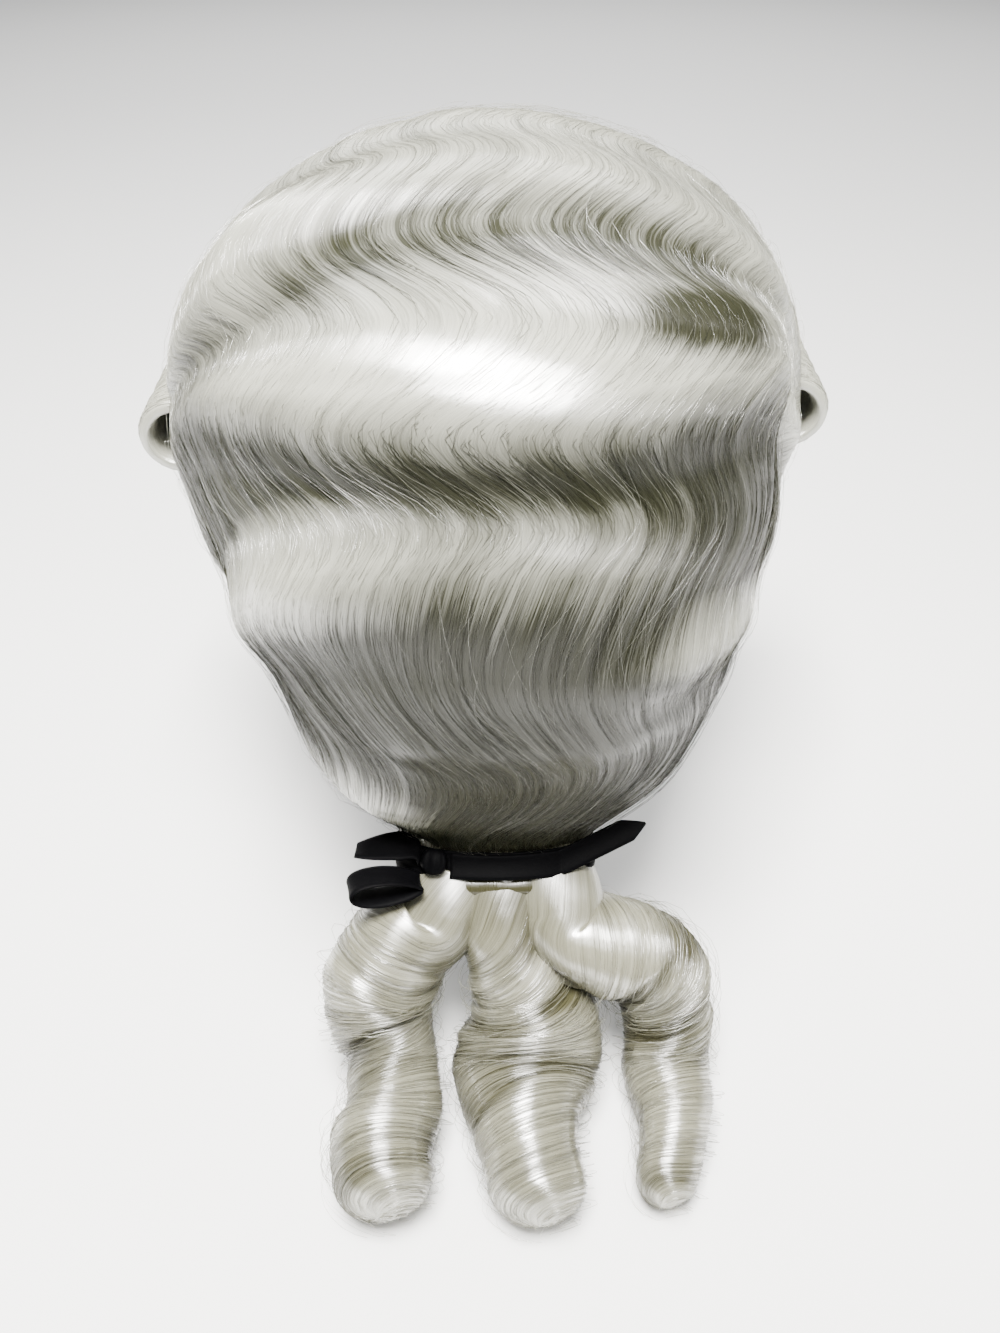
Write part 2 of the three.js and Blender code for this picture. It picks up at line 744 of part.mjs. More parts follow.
// The tail at the wearer's right: it lies on the band round the back, then reaches out freely.
function rightTail() {
  const rings = [];
  const lift = bandOutside + pieceGap;
  for (let side = rightTailFrom; side <= rightTailTo; side++)
    rings.push(bandRails((side / queueSides) * fullTurn, lift).reverse());
  const reach = mixWay(queueDirections((rightTailTo / queueSides) * fullTurn), rightTailWay);
  const last = rings[rings.length - 1];
  for (let k = 1; k <= tailSteps; k++) {
    const share = k / tailSteps;
    rings.push(
      last.map((point, i) => {
        const across = Math.min(i, last.length - 1 - i) / (last.length / 2 - 1);
        const cut = 1 - (1 - cutShare(across)) * share;
        return point.clone().addScaledVector(reach, share * cut * rightTailLength);
      }),
    );
  }
  return ringSkin(rings);
}

// Cut the rooms of the two curls out of the hair, and lay the pieces together.
let hairSolid = toSolid(crownHair());
for (const seat of Object.values(rollSeats)) hairSolid = hairSolid.subtract(toSolid(rollRoom(seat)));
addPiece("crown_hair", toGeometry(hairSolid), hair);
for (const [side, seat] of Object.entries(rollSeats)) addPiece(`side_roll_${side}`, sideRoll(seat), hair);
addPiece("queue_root", queueRoot(), curlHair);
for (const name of Object.keys(ringletPaths)) addPiece(`ringlet_${name}`, ringlet(name), curlHair);
addPiece("ribbon_band", ribbonBand(), blackSatin);
addPiece("ribbon_knot", ribbonKnot(), blackSatin);
addPiece("bow_loop_left", bowLoop(), blackSatin);
addPiece("ribbon_tail_left", leftTail(), blackSatin);
addPiece("ribbon_tail_right", rightTail(), blackSatin);

export default wig;
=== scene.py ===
# %% [markdown]
# # A powdered wig with a tied queue
#
# The wig is one soft hollow of white hair: finger waves over the head, one rolled curl over each
# ear, and a queue of three ringlets that a black satin ribbon ties at the nape. A plain model
# already fixes every size and place. This lesson keeps those places and makes what the eye sees:
# the waves, the strands that follow them, the wound ringlets and the cloth of the ribbon.
#
# %% Load the fixed model
import math

import bmesh
import bpy
import numpy as np
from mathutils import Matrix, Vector


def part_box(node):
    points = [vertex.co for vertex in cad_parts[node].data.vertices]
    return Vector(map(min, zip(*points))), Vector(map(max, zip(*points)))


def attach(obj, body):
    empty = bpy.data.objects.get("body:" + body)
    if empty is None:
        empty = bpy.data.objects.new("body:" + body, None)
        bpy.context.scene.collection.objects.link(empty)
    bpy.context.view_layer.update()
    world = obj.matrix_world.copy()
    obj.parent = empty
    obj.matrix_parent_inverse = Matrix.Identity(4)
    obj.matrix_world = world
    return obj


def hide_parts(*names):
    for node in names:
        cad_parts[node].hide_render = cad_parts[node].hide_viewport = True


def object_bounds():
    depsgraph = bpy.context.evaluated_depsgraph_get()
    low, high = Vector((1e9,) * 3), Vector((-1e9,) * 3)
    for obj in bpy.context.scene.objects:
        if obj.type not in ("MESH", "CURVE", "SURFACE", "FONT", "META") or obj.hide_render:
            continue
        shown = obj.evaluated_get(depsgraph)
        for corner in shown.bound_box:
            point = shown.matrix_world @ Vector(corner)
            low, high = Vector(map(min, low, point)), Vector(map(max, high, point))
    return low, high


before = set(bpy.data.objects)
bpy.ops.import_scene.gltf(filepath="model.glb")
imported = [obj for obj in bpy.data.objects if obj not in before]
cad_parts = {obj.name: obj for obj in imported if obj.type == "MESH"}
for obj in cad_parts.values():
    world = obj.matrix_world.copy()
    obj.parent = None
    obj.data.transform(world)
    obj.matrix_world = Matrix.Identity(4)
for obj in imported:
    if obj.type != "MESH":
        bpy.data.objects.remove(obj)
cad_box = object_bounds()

print("nodes:", ", ".join(sorted(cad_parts)))

# %% [markdown]
# ## The camera
#
# The wig is seen from behind and above, from close by: the crown looks large and the ringlets
# reach towards the viewer. A short lens at a short distance gives that perspective. The sensor
# width belongs to the long side of the picture, which is upright here.
#
# %% The camera
camera_place = Vector((0.0, 0.315, 0.076))
camera_down = math.radians(40)
camera_turn = math.radians(-0.4)
picture_height = 1333
focal_pixels = 1003

camera_data = bpy.data.cameras.new("camera")
camera_data.sensor_width = 36
camera_data.lens = focal_pixels / picture_height * camera_data.sensor_width
camera_data.clip_start = 0.01
camera = bpy.data.objects.new("camera", camera_data)
camera.location = camera_place
camera.rotation_euler = (math.pi / 2 - camera_down, 0, math.pi + camera_turn)
bpy.context.scene.collection.objects.link(camera)
bpy.context.scene.camera = camera
print(f"lens {camera_data.lens:.1f} mm, {camera_place.y * 1000:.0f} mm behind the crown")

# %% [markdown]
# ## The floor and the light
#
# White hair is bright only where it mirrors a lamp, and the waves show because one flank of each
# faces up and the other down. So one wide lamp hangs overhead, a little behind the camera, and the
# rest of the room stays dim. Another lamp lights only the far floor, which would look grey without
# it. The floor lies where the ringlets touch it.
#
# %% Helpers for materials
def feed(tree, node, feeds):
    """Give a node's inputs values or other nodes' outputs."""
    for key, value in feeds.items():
        if isinstance(value, bpy.types.NodeSocket):
            tree.links.new(value, node.inputs[key])
        else:
            node.inputs[key].default_value = value


def add_node(tree, kind, feeds=None, **choices):
    """Add a node, make its choices and feed it."""
    made = tree.nodes.new(kind)
    for name, value in choices.items():
        setattr(made, name, value)
    feed(tree, made, feeds or {})
    return made


def ranged(tree, value, low, high, to_low, to_high):
    """A value moved from one range to another."""
    feeds = {"Value": value, "From Min": low, "From Max": high, "To Min": to_low, "To Max": to_high}
    return add_node(tree, "ShaderNodeMapRange", feeds).outputs[0]


def between(tree, share, first, second):
    """A colour between two others."""
    feeds = {"Factor": share, 6: (*first, 1), 7: (*second, 1)}
    return add_node(tree, "ShaderNodeMix", feeds, data_type="RGBA").outputs[2]


def new_material(name):
    """A material with its node tree and its shader."""
    material = bpy.data.materials.new(name)
    material.use_nodes = True
    return material, material.node_tree, material.node_tree.nodes["Principled BSDF"]


# %% The floor
floor_height = cad_box[0].z - 0.0003
floor_half = 6.0
paper = (0.9, 0.9, 0.89)
# Painted shade: the floor colour behind the camera, standing in for a dim room.
dim = (0.03, 0.03, 0.03)
dim_from, dim_to = 0.25, 0.6


def floor_material():
    """Pale paper under the wig, with painted shade behind the camera where a room would be dim."""
    material, tree, shader = new_material("pale floor")
    place = add_node(tree, "ShaderNodeTexCoord").outputs["Object"]
    behind = add_node(tree, "ShaderNodeSeparateXYZ", {0: place}).outputs["Y"]
    colour = between(tree, ranged(tree, behind, dim_from, dim_to, 0.0, 1.0), paper, dim)
    feed(tree, shader, {"Base Color": colour, "Roughness": 0.9})
    return material


floor_mesh = bpy.data.meshes.new("floor")
corners = [(x * floor_half, y * floor_half, floor_height) for x, y in [(-1, -1), (1, -1), (1, 1), (-1, 1)]]
floor_mesh.from_pydata(corners, [], [(0, 1, 2, 3)])
floor_mesh.materials.append(floor_material())
floor = bpy.data.objects.new("floor", floor_mesh)
bpy.context.scene.collection.objects.link(floor)
print(f"floor at {floor_height * 1000:.1f} mm")

# %% The lamps
world = bpy.data.worlds.new("room")
world.use_nodes = True
room_light = {"Color": (0.93, 0.95, 1.0, 1), "Strength": 0.06}
feed(world.node_tree, world.node_tree.nodes["Background"], room_light)
bpy.context.scene.world = world


def add_lamp(name, place, aim, size, power, colour):
    """A soft square lamp that looks at a point."""
    data = bpy.data.lights.new(name, "AREA")
    data.shape = "SQUARE"
    data.size = size
    data.energy = power
    data.color = colour
    lamp = bpy.data.objects.new(name, data)
    lamp.location = place
    lamp.rotation_euler = (Vector(aim) - Vector(place)).to_track_quat("-Z", "Y").to_euler()
    bpy.context.scene.collection.objects.link(lamp)
    return lamp


nape = (0, 0.06, -0.1)
add_lamp("overhead lamp", (0.05, 0.30, 0.85), nape, 0.42, 80, (1.0, 0.98, 0.95))
add_lamp("low lamp", (-0.12, 0.60, 0.55), nape, 0.25, 3, (1.0, 0.99, 0.97))
add_lamp("front lamp", (0.5, -0.9, 0.7), nape, 0.7, 3, (0.95, 0.97, 1.0))
add_lamp("far floor lamp", (0.0, -1.9, 1.6), (0.0, -2.2, -0.3), 2.6, 75, (1.0, 1.0, 1.0))
print("lamps:", len(bpy.data.lights))

# %% [markdown]
# ## Tables
#
# The head is described by a few arches from ear to ear, and the waves by one row for each ridge.
# A table is read anywhere along it on a smooth line through its rows, so that a dozen rows give a
# surface as fine as wanted. numpy reads a whole grid of places at once.
#
# %% Reading a table
def table(columns, *rows):
    """Rows of numbers as named columns."""
    values = np.array(rows, float)
    return {name: values[:, i] for i, name in enumerate(columns.split())}


def read(rows, name, place):
    """One column of a table at many places, on a smooth line through its rows."""
    along, values = rows["along"], rows[name]
    last = len(along) - 1
    place = np.clip(place, along[0], along[-1])
    i = np.clip(np.searchsorted(along, place, side="right") - 1, 0, last - 1)
    before = np.maximum(np.arange(last + 1) - 1, 0)
    after = np.minimum(np.arange(last + 1) + 1, last)
    slopes = (values[after] - values[before]) / (along[after] - along[before])
    step = along[i + 1] - along[i]
    u = (place - along[i]) / step
    start = (2 * u**3 - 3 * u**2 + 1) * values[i] + (u**3 - 2 * u**2 + u) * step * slopes[i]
    end = (3 * u**2 - 2 * u**3) * values[i + 1] + (u**3 - u**2) * step * slopes[i + 1]
    return start + end


def smooth_step(low, high, value):
    """0 below low, 1 above high, and a soft rise between them."""
    u = np.clip((value - low) / (high - low), 0, 1)
    return u * u * (3 - 2 * u)


def unit(vectors):
    """Vectors of length one, along the last axis."""
    return vectors / np.maximum(np.linalg.norm(vectors, axis=-1, keepdims=True), 1e-12)


# %% Soft random fields
def soft_noise(across, along, cells_across, cells_along, seed):
    """A smooth random height from -1 to 1 over a grid of places, the same in each run."""
    grid = np.random.default_rng(seed).uniform(-1, 1, (cells_along + 4, cells_across + 4))
    u = np.clip(across, 0, 1) * cells_across
    v = np.clip(along, 0, 1) * cells_along
    i, j = u.astype(int), v.astype(int)
    fu, fv = smooth_step(0, 1, u - i), smooth_step(0, 1, v - j)
    near = grid[j, i] * (1 - fu) + grid[j, i + 1] * fu
    far = grid[j + 1, i] * (1 - fu) + grid[j + 1, i + 1] * fu
    return near * (1 - fv) + far * fv


print("a field gives the same number each time:", soft_noise(np.array([0.3]), np.array([0.6]), 9, 9, 1))

# %% [markdown]
# ## The head of hair
#
# On the real wig the hair is swept back from the forehead and pressed into finger waves, which run
# from side to side as ridges and troughs while each strand swings left and right on its way back.
# A sculpted mesh could not be changed afterwards, so the surface is computed: the cap's arches give
# the inside, a depth of hair lies on it, and the ridges are added to that depth.
#
# %% The cap's arches
cap_length = 0.180
cap_width = 0.160
cap_drop = -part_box("crown_hair")[0].z
hair_depth = 0.027
wave_depth = 0.0065
hem_thickness = 0.0025
hem_round = 0.013
under_curl = 0.5
arches = table(
    "along crown_y crown_z waist_y waist_z half_width shift tuck fullness back_hair side_hair",
    [0.00, -0.467, 0.290, -0.367, 0.583, 0.830, 0.000, 4, 0.90, 0.34, 0.30],
    [0.10, -0.456, 0.156, -0.322, 0.583, 0.900, -0.010, 6, 0.90, 0.48, 0.72],
    [0.22, -0.320, 0.042, -0.233, 0.573, 0.970, -0.010, 9, 0.93, 0.49, 1.00],
    [0.35, -0.060, 0.000, -0.100, 0.552, 1.000, 0.000, 12, 0.93, 0.49, 1.12],
    [0.48, 0.156, 0.031, 0.022, 0.552, 1.000, 0.015, 14, 0.89, 0.54, 1.00],
    [0.60, 0.378, 0.167, 0.111, 0.594, 0.950, 0.010, 14, 0.88, 0.59, 0.74],
    [0.70, 0.500, 0.354, 0.189, 0.667, 0.840, 0.000, 14, 0.89, 0.63, 0.70],
    [0.79, 0.539, 0.536, 0.250, 0.740, 0.745, -0.020, 14, 0.90, 0.67, 0.70],
    [0.87, 0.511, 0.719, 0.300, 0.833, 0.650, -0.035, 14, 0.90, 0.68, 0.66],
    [0.94, 0.456, 0.885, 0.344, 0.927, 0.540, -0.040, 14, 0.95, 0.68, 0.52],
    [1.00, 0.411, 1.000, 0.378, 1.000, 0.340, -0.030, 10, 1.00, 0.60, 0.22],
)


def cap_point(along, across):
    """The inside of the wig: along from forehead to nape, across from the right hem to the left."""
    def column(name):
        return read(arches, name, along)

    def bend(value):
        return np.sign(value) * np.abs(value) ** column("fullness")

    turn = across * np.radians(90 + column("tuck"))
    up = bend(np.cos(turn))
    waist_y, waist_z = column("waist_y") * cap_length, -column("waist_z") * cap_drop
    x = (column("half_width") * bend(np.sin(turn)) + column("shift")) * cap_width / 2
    y = waist_y + (column("crown_y") * cap_length - waist_y) * up
    z = waist_z + (-column("crown_z") * cap_drop - waist_z) * up
    return np.stack([x, y, z], -1)


def cap_normal(along, across):
    """The outward direction of the cap."""
    step = 0.002
    a, s = np.clip(along, step, 1 - step), np.clip(across, step - 1, 1 - step)
    lengthwise = cap_point(a + step, s) - cap_point(a - step, s)
    sidewise = cap_point(a, s + step) - cap_point(a, s - step)
    return unit(np.cross(sidewise, lengthwise))


half_arch = table("along length", *[
    (t, np.linalg.norm(np.diff(cap_point(np.full(41, t), np.linspace(0, 1, 41)), axis=0), axis=1).sum())
    for t in np.linspace(0, 1, 11)
])
print("half of an arch, in mm:", (half_arch["length"] * 1000).round())

# %% [markdown]
# ## The finger waves
#
# A ridge is a soft crest that wanders a little from the left of the head to the right. Its flank
# towards the forehead is broad and faces up, and the other falls away more steeply, which is why
# the waves read as bright and dark bands; painted highlight and painted shade in the hair's colour
# make those bands stronger. The strands turn at each crest, so their sideways swing is a sine of
# how far a place lies between two crests.
#
# %% Ridges and the swing of the strands
ridges = table(
    "left middle right height_left height_middle height_right before_left before_middle before_right "
    "after_left after_middle after_right",
    [0.160, 0.170, 0.160, 0.35, 0.45, 0.35, 0.070, 0.070, 0.070, 0.060, 0.060, 0.060],
    [0.310, 0.330, 0.320, 0.50, 0.40, 0.45, 0.070, 0.070, 0.070, 0.060, 0.060, 0.060],
    [0.420, 0.470, 0.420, 1.10, 0.25, 0.50, 0.070, 0.090, 0.080, 0.110, 0.040, 0.060],
    [0.430, 0.560, 0.430, 0.00, 0.05, 0.85, 0.030, 0.030, 0.035, 0.040, 0.040, 0.055],
    [0.480, 0.626, 0.440, 0.95, 1.20, 0.95, 0.045, 0.092, 0.045, 0.060, 0.062, 0.060],
    [0.725, 0.714, 0.700, 1.35, 0.42, 0.00, 0.065, 0.045, 0.030, 0.070, 0.075, 0.040],
    [0.700, 0.800, 0.700, 0.00, 0.00, 0.85, 0.050, 0.050, 0.050, 0.050, 0.050, 0.050],
    [0.800, 0.850, 0.800, 0.00, 0.20, 0.10, 0.030, 0.030, 0.030, 0.030, 0.030, 0.030],
    [0.880, 0.940, 0.910, 1.15, 0.20, 0.15, 0.070, 0.070, 0.060, 0.060, 0.050, 0.060],
)
ridge_reach = 0.8
height_reach = 0.5
reach_power = 1.4
climb_power = 1.35
crest_dip = 0.12
swing_width = 0.011
swing_ridges = [0, 1, 2, 4, 5, 8]


def crest_place(ridge, across):
    """Where a ridge lies, which bends from the left of the head over its middle to its right."""
    left, middle, right = (ridges[where][ridge] for where in ("left", "middle", "right"))
    side = np.clip(across / ridge_reach, -1, 1)
    return middle + (np.where(side > 0, left, right) - middle) * side**2


def blended(ridge, name, across):
    """A size of a ridge, which changes over the back of the head and is steady over its sides."""
    left, middle, right = (ridges[f"{name}_{where}"][ridge] for where in ("left", "middle", "right"))
    share = smooth_step(0, height_reach, np.abs(across)) ** reach_power
    return middle + (np.where(across > 0, left, right) - middle) * share


def wave_height(along, across):
    """The height of the waves over the plain hair, as a share of the wave depth."""
    height = np.zeros_like(along)
    for i in range(len(ridges["middle"])):
        crest = crest_place(i, across)
        rise = np.clip(1 - (crest - along) / blended(i, "before", across), 0, 1)
        fall = np.clip((along - crest) / blended(i, "after", across), 0, 1)
        climb = rise**climb_power * (1 - crest_dip * smooth_step(0.8, 1, rise))
        descent = (1 - crest_dip) * np.cos(fall * np.pi / 2) ** 2
        height += blended(i, "height", across) * np.where(along < crest, climb, descent)
    return height


def wave_turn(along, across):
    """How many ridges lie between the forehead and a place, as a smooth count."""
    crests = [crest_place(i, across) for i in swing_ridges]
    turn = np.minimum((along - crests[0]) / (crests[1] - crests[0]), 0)
    for here, following in zip(crests, crests[1:]):
        turn += np.clip((along - here) / (following - here), 0, 1)
    return turn + np.maximum((along - crests[-1]) / (crests[-1] - crests[-2]), 0)


def strand_place(along, across):
    """Which strand passes a place, from 0 at the right hem to 1 at the left."""
    fade = (1 - across**2) * smooth_step(0, 0.12, along) * (1 - smooth_step(0.93, 1, along))
    wander = 0.6 + 0.4 * soft_noise((across + 1) / 2, along, 4, 7, 14)
    wander = wander + 0.4 * smooth_step(0.42, 0.54, along) - 0.4 * smooth_step(0.6, 0.8, along)
    swing = swing_width / read(half_arch, "length", along) * fade * wander
    swung = across - swing * np.sin(2 * np.pi * wave_turn(along, across))
    return (swung + 1) / 2


print("waves:", len(ridges["middle"]), "ridges")

# %% The queue's sections
queue_width = 0.070
queue_depth = 0.022
queue_length = 0.029
queue_set_back = 0.011
piece_gap = 0.0003
queue_sections = table(
    "along back down wide deep lean",
    [0.00, 0.00, 0.00, 0.96, 0.96, 0],
    [0.35, 0.06, 0.28, 0.95, 0.98, 14],
    [0.70, 0.28, 0.55, 0.98, 1.08, 29],
    [1.00, 0.57, 0.75, 1.08, 1.30, 42],
)
queue_top = np.array([0, arches["waist_y"][-1] * cap_length + queue_set_back, -cap_drop - piece_gap])
queue_end = queue_top + queue_length * np.array([0, queue_sections["back"][-1], -queue_sections["down"][-1]])


def queue_point(along, turn, grow):
    """A point round the queue: turn is 0 at the left and a quarter at the back."""
    def column(name):
        return read(queue_sections, name, along)

    angle, lean = turn * 2 * np.pi, np.radians(column("lean"))
    out = (column("deep") * queue_depth / 2 + grow) * np.sin(angle)
    x = (column("wide") * queue_width / 2 + grow) * np.cos(angle)
    y = column("back") * queue_length + out * np.cos(lean)
    z = -column("down") * queue_length + out * np.sin(lean)
    return queue_top + np.stack([x, y, z], -1)


print("the queue starts at", (queue_top * 1000).round(1), "mm")

# %% The depth of the hair
roll_radius = 0.017
roll_gap = 0.0005
roll_seats = {
    "left": dict(side=1, front=-0.44, rear=0.045, out=1.325, height=0.432),
    "right": dict(side=-1, front=-0.5, rear=-0.05, out=1.3, height=0.432),
}
wave_swell = 1.2
hem_along = 0.26
hem_turn = 0.36
behind_curl = dict(along=0.49, across=-0.71, reach=0.07, spread=0.12, depth=0.010)
lock_depth = 0.00035
wisp_depth = 0.00012


def plain_depth(along, across):
    """The depth of the hair before it is waved, fullest over each ear."""
    off = np.abs(across)
    round_side = np.sin(off * np.pi / 2) ** 2
    over_ear = 1 - smooth_step(0.36, 0.56, along)
    side = round_side + (smooth_step(0.1, 0.66, off) - round_side) * over_ear
    below = 1 - under_curl * smooth_step(0.76, 0.9, off) * over_ear
    back = read(arches, "back_hair", along) * (1 - side)
    return (back + read(arches, "side_hair", along) * side * below) * hair_depth


def hem_share(along, across):
    """How much of its depth the hair has near the hem, where it starts from the cap's edge."""
    girth = (cap_width + cap_drop) / 2
    from_side = (1 - np.abs(across)) * girth
    from_front = along * (cap_length + cap_drop)
    share = np.clip(np.minimum(from_side, from_front) / hem_round, 0, 1)
    return np.sqrt(1 - (1 - share) ** 2)


def roll_middle(seat):
    """The middle line of a rolled curl: its x, its two ends in y, and its z."""
    return (seat["side"] * seat["out"] * cap_width / 2, seat["front"] * cap_length,
            seat["rear"] * cap_length, -seat["height"] * cap_drop)


def make_room(inner, way, depth):
    """Shorten the hair where a rolled curl lies in it."""
    for seat in roll_seats.values():
        x, front, rear, z = roll_middle(seat)
        point = inner + way * depth[..., None]
        y = point[..., 1]
        ends = smooth_step(front - 0.006, front, y) * (1 - smooth_step(rear, rear + 0.006, y))
        radius = (roll_radius * 1.04 + roll_gap) * ends
        dx, dz = inner[..., 0] - x, inner[..., 2] - z
        a = way[..., 0] ** 2 + way[..., 2] ** 2
        b = dx * way[..., 0] + dz * way[..., 2]
        c = dx**2 + dz**2 - radius**2
        inside = b**2 - a * c
        entry = (-b - np.sqrt(np.maximum(inside, 0))) / np.maximum(a, 1e-9)
        exit_ = (-b + np.sqrt(np.maximum(inside, 0))) / np.maximum(a, 1e-9)
        cut = (inside > 0) & (entry > 0) & (depth > entry) & (depth < exit_ + 0.004)
        depth = np.where(cut, entry, depth)
    return depth


def hair_point(along, across):
    """The outside of the hair."""
    fade = (1 - smooth_step(0.95, 1, along)) * smooth_step(0, 0.42, 1 - np.abs(across))
    place = strand_place(along, across)
    locks = soft_noise(place, along, 70, 9, 11) * lock_depth
    locks = locks + soft_noise(place, along, 23, 6, 12) * lock_depth
    wisps = soft_noise(place, along, 190, 16, 13) * wisp_depth
    swell = wave_swell * (1 - 0.45 * smooth_step(0.35, 0.62, np.abs(across)))
    relief = (wave_height(along, across) - 0.5) * wave_depth * swell * fade + (locks + wisps)
    off = ((along - behind_curl["along"]) / behind_curl["reach"]) ** 2
    off = off + ((across - behind_curl["across"]) / behind_curl["spread"]) ** 2
    relief = relief - behind_curl["depth"] * np.exp(-off)
    depth = hem_thickness + (plain_depth(along, across) + relief - hem_thickness) * hem_share(along, across)
    inner, way = cap_point(along, across), cap_normal(along, across)
    point = inner + way * make_room(inner, way, depth)[..., None]
    point[..., 2] = np.maximum(point[..., 2], -cap_drop)
    gathered = smooth_step(0.925, 1, along)[..., None]
    return point * (1 - gathered) + queue_point(hem_along, 0.25 - hem_turn * across, 0.0002) * gathered


print("hair depth over the crown:", float(plain_depth(np.array([0.5]), np.array([0.0]))[0] * 1000), "mm")

# %% [markdown]
# ## A skin that knows its strands
#
# Gloss on hair runs across the strands, so the material must know which way they lie. Every skin
# here is a grid, and two numbers at each place say which strand passes and how far along it the
# place is. They become the UV map. From them follows the direction of the strands, which is kept
# as an attribute, with a third number for the painted shade at the place.
#
# %% Grids to meshes
def strand_ways(points, place):
    """The direction of the strands over a grid, along which the strand number stays the same."""
    down, over = np.gradient(points, axis=0), np.gradient(points, axis=1)
    place_down, place_over = np.gradient(place, axis=0), np.gradient(place, axis=1)
    return unit(down * place_over[..., None] - over * place_down[..., None])


def quads(index, *maps):
    """The faces of a grid of points, and the strand map at each of their corners."""
    def corners(grid):
        return np.stack([grid[:-1, :-1], grid[:-1, 1:], grid[1:, 1:], grid[1:, :-1]], -1)

    uvs = np.stack([corners(values) for values in maps], -1)
    return corners(index).reshape(-1, 4).tolist(), uvs.reshape(-1, 4, 2).tolist()


def make_piece(name, points, faces, map_name, uvs, material):
    """A smooth mesh object from its points and faces, with a place on the map for each corner."""
    mesh = bpy.data.meshes.new(name)
    mesh.from_pydata(points.reshape(-1, 3).tolist(), [], faces)
    layer = mesh.uv_layers.new(name=map_name)
    layer.data.foreach_set("uv", np.concatenate([np.asarray(uv, np.float32).ravel() for uv in uvs]))
    mesh.polygons.foreach_set("use_smooth", [True] * len(mesh.polygons))
    mesh.materials.append(material)
    mesh.update()
    piece = bpy.data.objects.new(name, mesh)
    bpy.context.scene.collection.objects.link(piece)
    return piece


def know_strands(piece, ways, shade):
    """Keep the direction of the strands and the painted shade on a skin."""
    way = piece.data.attributes.new("strand_way", "FLOAT_VECTOR", "POINT")
    way.data.foreach_set("vector", ways.astype(np.float32).ravel())
    tone = piece.data.attributes.new("painted_shade", "FLOAT", "POINT")
    tone.data.foreach_set("value", shade.astype(np.float32).ravel())


def stand_for(piece, node):
    """Put a piece in the place of a solid of the fixed model."""
    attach(piece, "root")
    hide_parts(node)


# %% [markdown]
# ## White hair
#
# The fibre is smooth and glassy and a little warm, and olive grey shade is painted into its colour
# where strand shades strand. One material serves for skins and strands. Noise that is stretched
# along the strand map gives each strand its own tone, roughness and height, and the shader's
# anisotropy, turned by a quarter, spreads the gloss across them. Where painted shade lies, the
# colour is painted dark and the gloss is weak.
#
# %% The hair material
# Gloss where no shade is painted, and where the painted shade is deepest.
bright_gloss = 1.0
dark_gloss = 0.09


def streaks(tree, uv, across, along, detail):
    """Noise that is drawn out along the strands."""
    mapping = add_node(tree, "ShaderNodeMapping", {"Vector": uv, "Scale": (across, along, 1)})
    feeds = {"Vector": mapping.outputs[0], "Scale": 1.0, "Detail": detail}
    return add_node(tree, "ShaderNodeTexNoise", feeds).outputs[0]


def hair_material(name, light, dark, across, along, roughness, spread, contrast):
    """White fibre with painted shade: across and along are how many strands and breaks the map holds."""
    material, tree, shader = new_material(name)
    uv = add_node(tree, "ShaderNodeUVMap", uv_map="strands").outputs[0]
    fine = streaks(tree, uv, across, along, 3.0)
    broad = streaks(tree, uv, across / 4, along / 2, 2.0)
    painted_shade = add_node(tree, "ShaderNodeAttribute", attribute_name="painted_shade").outputs["Fac"]
    tone = add_node(tree, "ShaderNodeMath", {0: fine, 1: broad}, operation="ADD").outputs[0]
    # Painted shade plus the strands' random tone: it darkens the colour and weakens the gloss.
    deep = {0: painted_shade, 1: ranged(tree, tone, 0.75, 1.25, 0.0, contrast)}
    depth = add_node(tree, "ShaderNodeMath", deep, operation="ADD", use_clamp=True).outputs[0]
    relief = {"Height": tone, "Strength": 0.25, "Distance": 0.0002}
    feed(tree, shader, {
        "Base Color": between(tree, depth, light, dark),
        "Roughness": ranged(tree, fine, 0.3, 0.7, roughness - 0.08, roughness + 0.1),
        "Normal": add_node(tree, "ShaderNodeBump", relief).outputs[0],
        "Tangent": add_node(tree, "ShaderNodeAttribute", attribute_name="strand_way").outputs["Vector"],
        "Specular IOR Level": ranged(tree, depth, 0.0, 1.0, bright_gloss, dark_gloss),
        "IOR": 2.4,
        "Anisotropic": spread,
        "Anisotropic Rotation": 0.25,
    })
    return material


# Each dark colour serves the painted shade and the darker streaks.
waved_finish = hair_material(
    "waved hair", light=(0.50, 0.50, 0.42), dark=(0.018, 0.0185, 0.0105),
    across=2600, along=6, roughness=0.27, spread=0.85, contrast=0.3,
)
curled_finish = hair_material(
    "curled hair", light=(0.29, 0.283, 0.208), dark=(0.04, 0.038, 0.019),
    across=230, along=4, roughness=0.29, spread=0.7, contrast=0.5,
)
print("finishes:", waved_finish.name, "and", curled_finish.name)

# %% The painted shade of the waves
# How much painted highlight and painted shade the waves get, and patches of painted shade.
height_light = 0.7
slope_light = 0.012
crown_light = 0.42
low_back_shade = 0.36
nape_light = 0.14
strand_shade = 0.08
painted_shade_patches = [
    dict(along=0.55, across=-0.34, slant=0.21, reach=0.030, spread=0.15, depth=0.75),
    dict(along=0.54, across=0.62, slant=0.0, reach=0.055, spread=0.13, depth=0.45),
]


